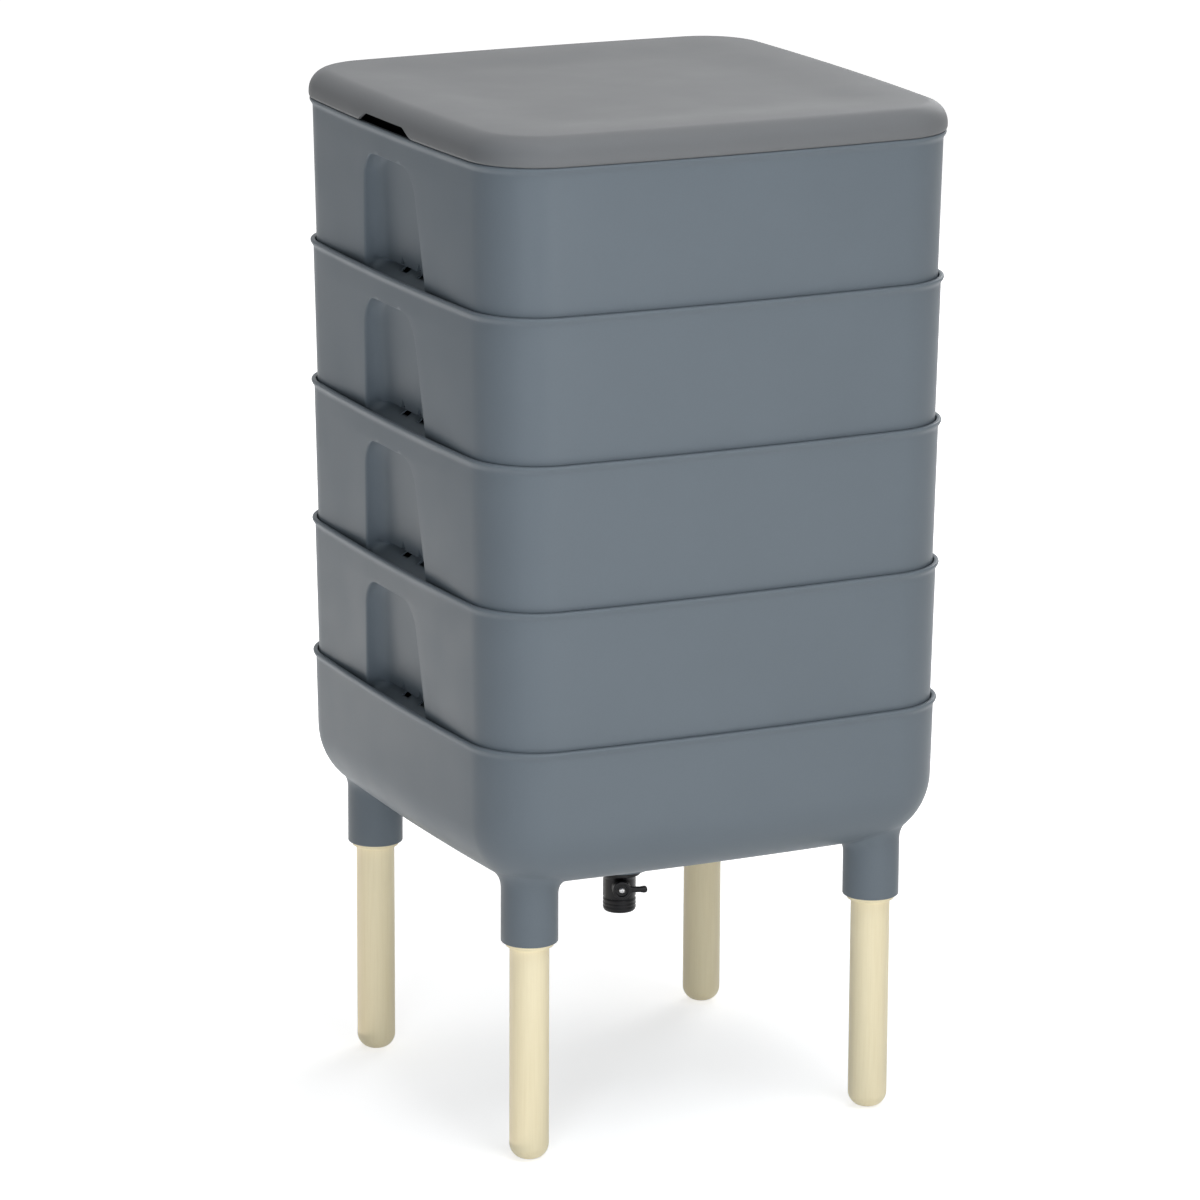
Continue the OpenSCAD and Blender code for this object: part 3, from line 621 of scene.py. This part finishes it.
# Base: a bowl with a bead, a sump in the middle and four sockets
base = {"rimZ": 311.5, "wallH": 57.0, "bowlR": 52.0, "thick": 3.0, "floorFall": 13.0, "sumpR": 34.0,
        "sumpSeatR": 24.0, "sumpDrop": 41.0, "holeR": 10.8, "fallOver": 100.0, "bowlSteps": 14,
        "outerDrops": (48, 38, 28, 18, 10, 8), "lipDrops": (2, 8, 16, 26, 35.5), "innerDrops": (37.1, 45, 52)}
socket = {"place": 136.4, "radius": 20.4, "bore": 17.5, "mouthZ": 162.2, "depth": 36.0, "heights": (175, 183, 190),
          "filletOut": 6.0, "filletDown": 9.0, "filletSteps": 10, "lap": 0.25, "topIn": 3.0, "topSunk": 2.4}
bowlZ = base["rimZ"] - base["wallH"]
bowlInset = wallInset(base["wallH"])
bowlFootZ = bowlZ - base["bowlR"]
sumpTopZ = bowlFootZ - base["floorFall"]
sumpSeatZ = bowlFootZ - base["sumpDrop"]


# A base ring is ("square", inset, z), ("round", radius, z) or ("blend", share towards the square, inset, radius, z)
def basePlace(station, ring):
    if ring[0] == "square":
        return (*plainPlace(station, ring[1]), ring[2])
    if ring[0] == "round":
        spot = Vector(plainPlace(station, 0.0)).normalized() * ring[1]
        return (spot.x, spot.y, ring[2])
    share, inset, radius, z = ring[1:]
    spot = Vector(plainPlace(station, 0.0)).normalized() * radius
    spot = spot.lerp(Vector(plainPlace(station, inset)), share)
    return (spot.x, spot.y, z)


def bowlSide(lift, inset, radius, sumpR, seatR):
    rings = [("round", base["holeR"], sumpSeatZ + lift), ("round", seatR - 2.5, sumpSeatZ + lift),
             ("round", seatR - 0.8, sumpSeatZ + lift + 0.4), ("round", seatR, sumpSeatZ + lift + 1.8)]
    for share in (0.25, 0.5, 0.75, 0.9):
        rings.append(("round", seatR + (sumpR - seatR) * share, sumpSeatZ + lift + (sumpTopZ - sumpSeatZ) * share))
    rings.append(("round", sumpR + 0.8, sumpTopZ + lift - 0.6))
    for share in (0.03, 0.08, 0.2, 0.35, 0.5, 0.65, 0.8, 0.92):
        fall = base["floorFall"] * (1 - share) * (1 - share * 0.25 * (1 - share))
        rings.append(("blend", share, inset + radius, sumpR, bowlFootZ + lift - fall))
    for step in range(base["bowlSteps"] + 1):
        angle = math.pi / 2 * (1 - step / base["bowlSteps"])
        rings.append(("square", inset + radius * (1 - math.cos(angle)), bowlZ - radius * math.sin(angle)))
    return rings


def baseRings():
    rings = bowlSide(0.0, bowlInset, base["bowlR"], base["sumpR"], base["sumpSeatR"])
    thick, rimZ = base["thick"], base["rimZ"]
    rings += [("square", wallInset(drop), rimZ - drop) for drop in base["outerDrops"]]
    rings += [("square", inset, rimZ - drop) for drop, inset in beadProfile]
    rings += [("square", wallInset(drop) + tray["rimWall"], rimZ - drop) for drop in base["lipDrops"]]
    rings += [("square", wallInset(drop) + thick, rimZ - drop) for drop in base["innerDrops"]]
    inner = [base[key] - thick for key in ("bowlR", "sumpR", "sumpSeatR")]
    rings += reversed(bowlSide(thick, bowlInset + thick, *inner))
    return rings + [rings[0]]


# How far a point lies inside the outline, and the height of the bowl's underside there
def insetAt(x, y):
    x, y = abs(x), abs(y)
    if x > cornerCentre and y > cornerCentre:
        return outline["cornerR"] - math.hypot(x - cornerCentre, y - cornerCentre)
    far, near = max(x, y), min(x, y)
    return sideOut(0.0, near) - far


def bowlUnder(x, y):
    share = (insetAt(x, y) - bowlInset) / base["bowlR"]
    if share >= 1:
        return bowlFootZ - base["floorFall"] * min(1.0, (share - 1) * base["bowlR"] / base["fallOver"])
    turn = math.acos(clamped(1 - share))
    return bowlZ - base["bowlR"] * math.sin(turn)


# A socket is turned, then its upper rings are laid along the bowl in a soft fillet
def addSocket(mesh, cx, cy):
    mouth, outer, bore, steps = socket["mouthZ"], socket["radius"], socket["bore"], socket["filletSteps"]
    top, heights = mouth + socket["depth"], socket["heights"]
    filletTag, topTag = 1000.0, 2000.0  # these heights only mark the rings that are laid along the bowl
    profile = softCorners([(0, top), (bore, top, 0.5), (bore, mouth, 0.6), (outer, mouth, 0.9), (outer, heights[0])])
    profile += [Vector((outer, height)) for height in heights[1:]]
    profile += [Vector((outer, filletTag + step)) for step in range(steps + 1)]
    profile += [Vector((outer, topTag)), Vector((0, topTag))]
    part = turned(profile, 72)
    for vert in part.verts:
        spot = Vector((vert.co.x, vert.co.y))
        away = spot.normalized() if spot.length > 1 else Vector((0, 0))
        if vert.co.z > topTag - 1:
            spot = away * (outer + socket["filletOut"] - socket["topIn"])
            vert.co = (spot.x, spot.y, bowlUnder(cx + spot.x, cy + spot.y) + socket["topSunk"])
        elif vert.co.z > filletTag - 1:
            share = (vert.co.z - filletTag) / steps
            near = away * outer
            far = away * (outer + socket["filletOut"])
            meet = bowlUnder(cx + near.x, cy + near.y)
            end = bowlUnder(cx + far.x, cy + far.y) + socket["lap"]
            start = meet - socket["filletDown"]
            spot = near.lerp(far, share * share)
            height = start * (1 - share) ** 2 + meet * 2 * share * (1 - share) + end * share ** 2
            vert.co = (spot.x, spot.y, height)
    bmesh.ops.recalc_face_normals(part, faces=part.faces)
    joinInto(mesh, part, Matrix.Translation((cx, cy, 0)))


baseMesh = growRings(plainStations(), baseRings(), basePlace)
for cx in (-socket["place"], socket["place"]):
    for cy in (-socket["place"], socket["place"]):
        addSocket(baseMesh, cx, cy)
addSeats(baseMesh, base["rimZ"] - seat["baseDrop"], seat["baseDrop"])
addPiece(baseMesh, "baseMoulding", greyPlastic, "base", "base")
print("base made")

# Legs: turned wood with a rounded foot and a thicker end in the socket
leg = {"radius": 14.2, "footR": 11.0, "footSteps": 12, "heights": (30, 60, 90, 120, 145), "shoulderFrom": 150,
       "tenonR": 17.4, "tenonShow": 3.2}


def legMesh(cx, cy):
    top, shoulderZ = socket["mouthZ"] + socket["depth"], socket["mouthZ"] - leg["tenonShow"]
    radius, footR = leg["radius"], leg["footR"]
    profile = [(0, 0), (radius - footR, 0)]
    for step in range(1, leg["footSteps"] + 1):
        angle = math.pi / 2 * step / leg["footSteps"]
        profile.append((radius - footR + footR * math.sin(angle), footR * (1 - math.cos(angle))))
    profile += [(radius, height) for height in leg["heights"]]
    shoulder = softCorners([(radius, leg["shoulderFrom"]), (radius, shoulderZ, 0.7), (leg["tenonR"], shoulderZ, 1.1),
                            (leg["tenonR"], top, 0.8), (0, top)])
    mesh = turned([Vector(point) for point in profile] + shoulder, 96)
    bmesh.ops.translate(mesh, vec=(cx, cy, 0), verts=mesh.verts)
    return mesh


legSides = {"front_left": (-1, -1), "front_right": (1, -1), "back_left": (-1, 1), "back_right": (1, 1)}
for name, (sideX, sideY) in legSides.items():
    mesh = legMesh(sideX * socket["place"], sideY * socket["place"])
    addPiece(mesh, "leg" + name.title().replace("_", ""), paleWood, "base", "leg_" + name, 50)
print("legs made")

# Lid: a dished shell with a round edge, a skirt inside the tray and a notch in each recessed side
lid = {"z": 724.0, "rise": 20.2, "edgeR": 15.5, "overhang": 0.6, "dish": 3.0, "dishShare": 0.46, "dishSteps": 16,
       "edgeSteps": 16, "skirt": 12.0, "skirtInset": 4.56, "wall": 2.3, "ceilingIn": 8.0,
       "lipShares": ((1.0, 2.6), (0.75, 1.7), (0.2, 1.0), (-0.6, 0.5), (-1.6, 0.12), (-2.3, 0.0), (-4.3, 0.0),
                     (-7.1, 0.0))}
notch = {"width": 94.0, "topWidth": 65.0, "height": 7.2, "wall": 2.4, "relief": 7.0, "footR": 2.0, "topR": 8.0,
         "start": 178.0, "depth": 14.0, "reliefStart": 178.5, "slimStart": 176.0, "slimDepth": 8.2}


def lidPlace(station, ring):
    inset, z, shrink = ring
    x, y = plainPlace(station, inset)
    return (x * shrink, y * shrink, z)


def lidRings():
    crest = lid["z"] + lid["rise"]
    sideZ, crestInset, radius = crest - lid["edgeR"], lid["edgeR"] - lid["overhang"], lid["edgeR"]
    rings = [(crestInset, crest - lid["dish"], shrink) for shrink in (0.0, 0.2, 0.36, 0.48)]
    for step in range(lid["dishSteps"], 0, -1):  # from the dish up to the crest, as a smooth step
        share = step / lid["dishSteps"]
        fall = lid["dish"] * share ** 3 * (10 - 15 * share + 6 * share ** 2)
        rings.append((crestInset, crest - fall, 1 - lid["dishShare"] * share))
    for step in range(lid["edgeSteps"], -1, -1):
        angle = math.pi / 2 * step / lid["edgeSteps"]
        rings.append((crestInset - radius * math.cos(angle), sideZ + radius * math.sin(angle), 1.0))
    rings += [(-lid["overhang"] * out, lid["z"] + up, 1.0) for out, up in lid["lipShares"]]
    outer, skirtZ = lid["skirtInset"], lid["z"] - lid["skirt"]
    inner, under = outer + lid["wall"], radius - lid["wall"]
    rings += [(outer, lid["z"] - 0.3, 1.0), (outer, lid["z"] - 6, 1.0), (outer + 0.1, skirtZ + 0.5, 1.0),
              (outer + 0.6, skirtZ, 1.0), (inner - 0.5, skirtZ, 1.0), (inner, skirtZ + 0.6, 1.0),
              (inner, lid["z"] - 4, 1.0)]
    ceiling, curve = crest - lid["wall"], ((0, 0.5), (0.22, 0.24), (0.6, 0.08))
    rings += [(inner + under * out, ceiling - under * down, 1.0) for out, down in curve]
    ceilingInset = crestInset + lid["ceilingIn"]
    rings.append((ceilingInset, ceiling - lid["dish"] * 0.2, 1.0))
    return rings + [(ceilingInset, ceiling - lid["dish"], shrink) for shrink in (0.7, 0.4, 0.2, 0.0)]


def notchCutters():
    cutters = []
    wide, narrow, high = notch["width"] / 2, notch["topWidth"] / 2, notch["height"]
    corners = [(-wide, -2), (wide, -2), (wide, 0, notch["footR"]), (narrow, high, notch["topR"]),
               (-narrow, high, notch["topR"]), (-wide, 0, notch["footR"])]
    shape = [tuple(point) for point in softCorners(corners, 6)]
    slim = oblong(narrow, -lid["skirt"] - 2, -1)
    relief = oblong(wide + notch["relief"], -1.5, high + 1.0)
    reliefDepth = outline["rimHalf"] + lid["overhang"] - notch["wall"] - notch["reliefStart"]
    cuts = ((shape, notch["start"], notch["depth"]), (relief, notch["reliefStart"], reliefDepth),
            (slim, notch["slimStart"], notch["slimDepth"]))
    for turn in (0, 2):
        for points, start, depth in cuts:
            block = pushedOut(points, depth)
            moveBy(block, stoodUp(math.pi / 2 * turn, (start, 0, lid["z"])))
            cutters.append(block)
    return cutters


lidMesh = growRings(plainStations(), lidRings(), lidPlace)
for cutter in notchCutters():
    lidMesh = cutOut(lidMesh, cutter)
addPiece(lidMesh, "lidMoulding", lidPlastic, "lid", "lid", 30)
print("lid made")

# Tap: body with its flange, hub and shank, banded outlet collar, lever and screw
tap = {"seatZ": 161.5, "gasket": 2.2, "flangeT": 2.6, "flangeR": 15.5, "flare": 3.0, "shankR": 10.45,
       "shankOver": 4.0, "nutH": 8.0, "bodyR": 11.7, "under": 3.3, "ballR": 7.0, "ballRoom": 1.2, "ballTop": 8.05,
       "flowR": 4.6, "stemR": 3.0, "turn": -110.0, "leverDrop": 7.7, "hubR": 6.8, "bossFrom": 6.0, "bossOut": 3.5,
       "bossHole": 2.0, "bossHoleDeep": 2.5, "ribHalf": 0.7, "ribH": 14.0, "ribT": 0.7, "ribEdge": 0.25,
       "ribSunk": 0.35, "ribFoot": 0.8}
flangeZ = tap["seatZ"] - tap["gasket"] - tap["flangeT"]
leverZ = flangeZ - tap["leverDrop"]
bodyFootZ = leverZ - tap["ballR"] - tap["under"]
shankTopZ = tap["seatZ"] + base["thick"] + tap["gasket"] + tap["nutH"] + tap["shankOver"]
ballBore = tap["ballR"] + tap["ballRoom"]
bossReach = tap["bodyR"] + tap["bossOut"]
tapTurn = Matrix.Rotation(math.radians(tap["turn"]), 4, "Z")
alongLever = Matrix.Translation((0, 0, leverZ)) @ tapTurn @ quarterAbout("Y")


def tapBodyMesh():
    bodyR, flangeR, shankR, flowR, flare = (tap[key] for key in ("bodyR", "flangeR", "shankR", "flowR", "flare"))
    flangeTop, ballTop = flangeZ + tap["flangeT"], leverZ + tap["ballTop"]
    mesh = turned(softCorners([(flowR, shankTopZ), (shankR, shankTopZ, 0.8), (shankR, flangeTop, 0.2),
                               (flangeR, flangeTop, 0.5), (flangeR, flangeZ, 0.7),
                               (bodyR + flare / 2, flangeZ - 0.2, 0.9), (bodyR, flangeZ - flare, 1.4),
                               (bodyR, bodyFootZ, 0.5), (ballBore, bodyFootZ, 0.3),
                               (ballBore, ballTop), (flowR, ballTop)]), 96, closed=True)
    hubR, holeR, holeFoot = tap["hubR"], tap["stemR"] + tap["bossHole"], bossReach - tap["bossHoleDeep"]
    boss = turned(softCorners([(0, tap["bossFrom"]), (hubR, tap["bossFrom"]), (hubR, bossReach, 0.5),
                               (holeR, bossReach), (holeR, holeFoot), (0, holeFoot)]), 64)
    joinInto(mesh, boss, alongLever)
    for side in (90, 270):  # two mould ribs down the body's sides
        rib = pushedOut(oblong(tap["ribHalf"], 0, tap["ribH"]), tap["ribT"], tap["ribEdge"])
        ribPlace = (bodyR - tap["ribSunk"], 0, bodyFootZ + tap["ribFoot"])
        joinInto(mesh, rib, stoodUp(math.radians(tap["turn"] + side), ribPlace))
    return mesh


collar = {"radius": 12.2, "height": 9.9, "bands": 3, "pitches": 3.5, "groove": 0.35, "flatFoot": 1.3, "footUp": 1.1,
          "plugR": 8.1, "plugUp": 1.5, "gap": 0.02}


def collarMesh():
    radius, groove = collar["radius"], collar["radius"] - collar["groove"]
    foot, pitch = bodyFootZ - collar["height"], collar["height"] / collar["pitches"]
    points = [(ballBore, foot, 0.4), (radius - collar["flatFoot"], foot, 0.6), (groove, foot + collar["footUp"], 0.3)]
    for band in range(1, collar["bands"] + 1):
        low = foot + band * pitch - pitch / 4
        high = low + pitch / 2
        points += [(groove, low - 0.1, 0.1), (radius, low + 0.15, 0.1), (radius, high - 0.15, 0.1),
                   (groove, high + 0.1, 0.1)]
    top, plugTop, shelf = bodyFootZ - collar["gap"], bodyFootZ + collar["plugUp"], bodyFootZ - collar["height"] / 2
    points += [(groove, top, 0.3), (collar["plugR"], top), (collar["plugR"], plugTop), (tap["flowR"], plugTop),
               (tap["flowR"], shelf), (ballBore, shelf)]
    return turned(softCorners(points, 3, closed=True), 96, closed=True)


lever = {"length": 18.8, "thick": 3.75, "edge": 0.55, "hubT": 5.0, "cup": 0.65, "cupDeep": 1.6,
         "stemRoom": 0.05, "gap": 0.3}
leverFace = bossReach + lever["gap"]


def leverMesh():
    hubR, hubT, length = tap["hubR"], lever["hubT"], lever["length"]
    cup, cupFoot, holeR = hubR * lever["cup"], hubT - lever["cupDeep"], tap["stemR"] + lever["stemRoom"]
    mesh = turned(softCorners([(holeR, 0), (hubR, 0, 0.4), (hubR, hubT, 0.7), (cup + 0.3, hubT, 0.35),
                               (cup, cupFoot, 0.3), (holeR, cupFoot)]), 64, closed=True)
    half, tip = hubR * 0.28, hubR * 0.34
    side = [(hubR * 0.5, 3.4), (hubR * 0.42, hubR * 0.8), (half, hubR * 1.25), (half * 0.96, length * 0.7),
            (tip, length * 0.85), (tip, length - 1.2), (tip - 1.2, length)]
    joinInto(mesh, pushedOut([(-x, y) for x, y in side] + side[::-1], lever["thick"], lever["edge"]))
    moveBy(mesh, alongLever @ Matrix.Translation((0, 0, leverFace)))
    return mesh


screw = {"radius": 2.2, "height": 1.9, "sideShare": 0.6, "flatShare": 0.55, "shankR": 1.35, "shankLen": 7.0,
         "slotHalf": 1.0, "slotHalfW": 0.2, "slotCut": 2.0}


# The screw's cross is cut one bar at a time
def screwMesh():
    radius, height, shankR, shankFoot = screw["radius"], screw["height"], screw["shankR"], -screw["shankLen"]
    sideTop = height * screw["sideShare"]
    mesh = turned(softCorners([(0, shankFoot), (shankR, shankFoot), (shankR, 0), (radius, 0), (radius, sideTop, 0.5),
                               (radius * screw["flatShare"], height, 0.8), (0, height)]), 48)
    for turn in (0, math.pi / 2):
        bar = pushedOut(oblong(screw["slotHalf"], -screw["slotHalfW"], screw["slotHalfW"]), screw["slotCut"])
        moveBy(bar, Matrix.Rotation(turn, 4, "Z") @ Matrix.Translation((0, 0, sideTop)))
        mesh = cutOut(mesh, bar)
    moveBy(mesh, alongLever @ Matrix.Translation((0, 0, leverFace + lever["hubT"] - lever["cupDeep"])))
    return mesh


addPiece(tapBodyMesh(), "tapBody", blackPlastic, "base", "tap_body", 35)
addPiece(collarMesh(), "tapCollar", blackPlastic, "base", "tap_outlet_collar", 35)
addPiece(leverMesh(), "tapLever", blackPlastic, "lever", "tap_lever", 35)
addPiece(screwMesh(), "tapScrew", plainSteel, "lever", "tap_lever_screw", 35)
print("tap made")

# CAD pieces that stay get the same finishes
kept = ((darkRubber, ("tap_outer_gasket", "tap_inner_gasket", "tap_stem_seal")),
        (blackPlastic, ("tap_lock_nut", "tap_stem")),
        (whitePlastic, ("tap_upper_seat", "tap_lower_seat", "tap_ball")))
for material, names in kept:
    for name in names:
        node = bpy.data.objects[name]
        if not node.material_slots:
            node.data.materials.append(None)
        node.material_slots[0].material = material

# Floor, world and lamps
stage = {"size": 30.0, "squares": 8, "colour": (0.80, 0.80, 0.80), "glow": 0.64, "farGlow": 1.0, "near": 0.25,
         "far": 1.0, "ambient": 0.05}
lamps = {
    "keyLamp": {"place": (0.3, -1.5, 3.0), "aim": (0, 0, 0.6), "size": (1.8, 1.2), "watts": 26.0,
                "tint": (0.97, 1.0, 1.03)},
    "lowFront": {"place": (0.25, -3.36, 0.45), "aim": (0, 0, 0.2), "size": (1.0, 0.7), "watts": 25.5,
                 "tint": plainWhite},
    "softBox": {"place": (-1.55, -2.0, 0.75), "aim": (0, 0, 0.35), "size": (0.6, 1.3), "watts": 16.0,
                "tint": (0.93, 1.0, 1.08)},
    "rearLamp": {"place": (2.3, 1.9, 1.7), "aim": (0, 0, 0.4), "size": (1.6, 1.6), "watts": 26.0,
                 "tint": plainWhite},
    "topLamp": {"place": (0.1, 0.2, 3.4), "aim": (0, 0, 0.42), "size": (2.5, 2.5), "watts": 42.0,
                "tint": plainWhite},
    "frontBounce": {"place": (0.1, -0.95, 0.012), "aim": (0.1, -0.95, 1.0), "size": (1.4, 0.9), "watts": 2.4,
                    "tint": (1.06, 1.0, 0.9)},
    "leftBounce": {"place": (-0.75, 0.2, 0.012), "aim": (-0.75, 0.2, 1.0), "size": (1.2, 0.9), "watts": 1.0,
                   "tint": (1.12, 1.0, 0.88)},
    "backBounce": {"place": (-0.7, 0.75, 0.06), "aim": (-0.187, 0.15, 0.25), "size": (0.6, 0.2), "watts": 0.62,
                   "tint": (1.12, 1.0, 0.88)}}


# The background and the floor's glow are seen by the camera, in gloss and through glass, and light nothing
def rayMix(tree, plain, seen):
    path = tree.nodes.new("ShaderNodeLightPath")
    highest = path.outputs["Is Camera Ray"]
    for name in ("Is Glossy Ray", "Is Transmission Ray"):
        pick = tree.nodes.new("ShaderNodeMath")
        pick.operation = "MAXIMUM"
        tree.links.new(highest, pick.inputs[0])
        tree.links.new(path.outputs[name], pick.inputs[1])
        highest = pick.outputs[0]
    mix = tree.nodes.new("ShaderNodeMixShader")
    tree.links.new(highest, mix.inputs["Fac"])
    tree.links.new(plain, mix.inputs[1])
    tree.links.new(seen, mix.inputs[2])
    return mix.outputs["Shader"]


def makeFloor():
    mesh = bmesh.new()
    bmesh.ops.create_grid(mesh, x_segments=stage["squares"], y_segments=stage["squares"], size=stage["size"])
    data = bpy.data.meshes.new("studioFloor")
    mesh.to_mesh(data)
    mesh.free()
    floor = bpy.data.objects.new("studioFloor", data)
    bpy.context.scene.collection.objects.link(floor)
    material = bpy.data.materials.new("studioFloor")
    material.use_nodes = True
    tree = material.node_tree
    tree.nodes.clear()
    diffuse = tree.nodes.new("ShaderNodeBsdfDiffuse")
    diffuse.inputs["Color"].default_value = (*stage["colour"], 1.0)
    glow = tree.nodes.new("ShaderNodeEmission")
    place = tree.nodes.new("ShaderNodeTexCoord")
    length = tree.nodes.new("ShaderNodeVectorMath")
    length.operation = "LENGTH"
    tree.links.new(place.outputs["Object"], length.inputs[0])
    reach = tree.nodes.new("ShaderNodeMapRange")  # the glow grows from near the object to the far floor
    reach.interpolation_type = "SMOOTHSTEP"
    for ends, key in (("From Min", "near"), ("From Max", "far"), ("To Min", "glow"), ("To Max", "farGlow")):
        reach.inputs[ends].default_value = stage[key]
    tree.links.new(length.outputs["Value"], reach.inputs["Value"])
    tree.links.new(reach.outputs["Result"], glow.inputs["Strength"])
    both = tree.nodes.new("ShaderNodeAddShader")
    tree.links.new(diffuse.outputs[0], both.inputs[0])
    tree.links.new(glow.outputs[0], both.inputs[1])
    output = tree.nodes.new("ShaderNodeOutputMaterial")
    tree.links.new(rayMix(tree, diffuse.outputs[0], both.outputs[0]), output.inputs["Surface"])
    data.materials.append(material)


def makeWorld():
    world = bpy.data.worlds.new("studioWorld")
    bpy.context.scene.world = world
    world.use_nodes = True
    tree = world.node_tree
    tree.nodes.clear()
    plain = tree.nodes.new("ShaderNodeBackground")
    plain.inputs["Strength"].default_value = stage["ambient"]
    seen = tree.nodes.new("ShaderNodeBackground")
    seen.inputs["Color"].default_value = (*plainWhite, 1.0)
    seen.inputs["Strength"].default_value = 1.0
    output = tree.nodes.new("ShaderNodeOutputWorld")
    tree.links.new(rayMix(tree, plain.outputs[0], seen.outputs[0]), output.inputs["Surface"])


def makeLamp(name, lamp):
    data = bpy.data.lights.new(name, "AREA")
    data.shape = "RECTANGLE"
    data.size, data.size_y = lamp["size"]
    data.energy = lamp["watts"]
    data.color = lamp["tint"]
    toward = Vector(lamp["place"]) - Vector(lamp["aim"])
    lampObject = bpy.data.objects.new(name, data)
    lampObject.visible_camera = False
    bpy.context.scene.collection.objects.link(lampObject)
    lampObject.matrix_world = Matrix.Translation(lamp["place"]) @ toward.to_track_quat("Z", "Y").to_matrix().to_4x4()


makeFloor()
makeWorld()
for name, lamp in lamps.items():
    makeLamp(name, lamp)
print("stage and lamps made")
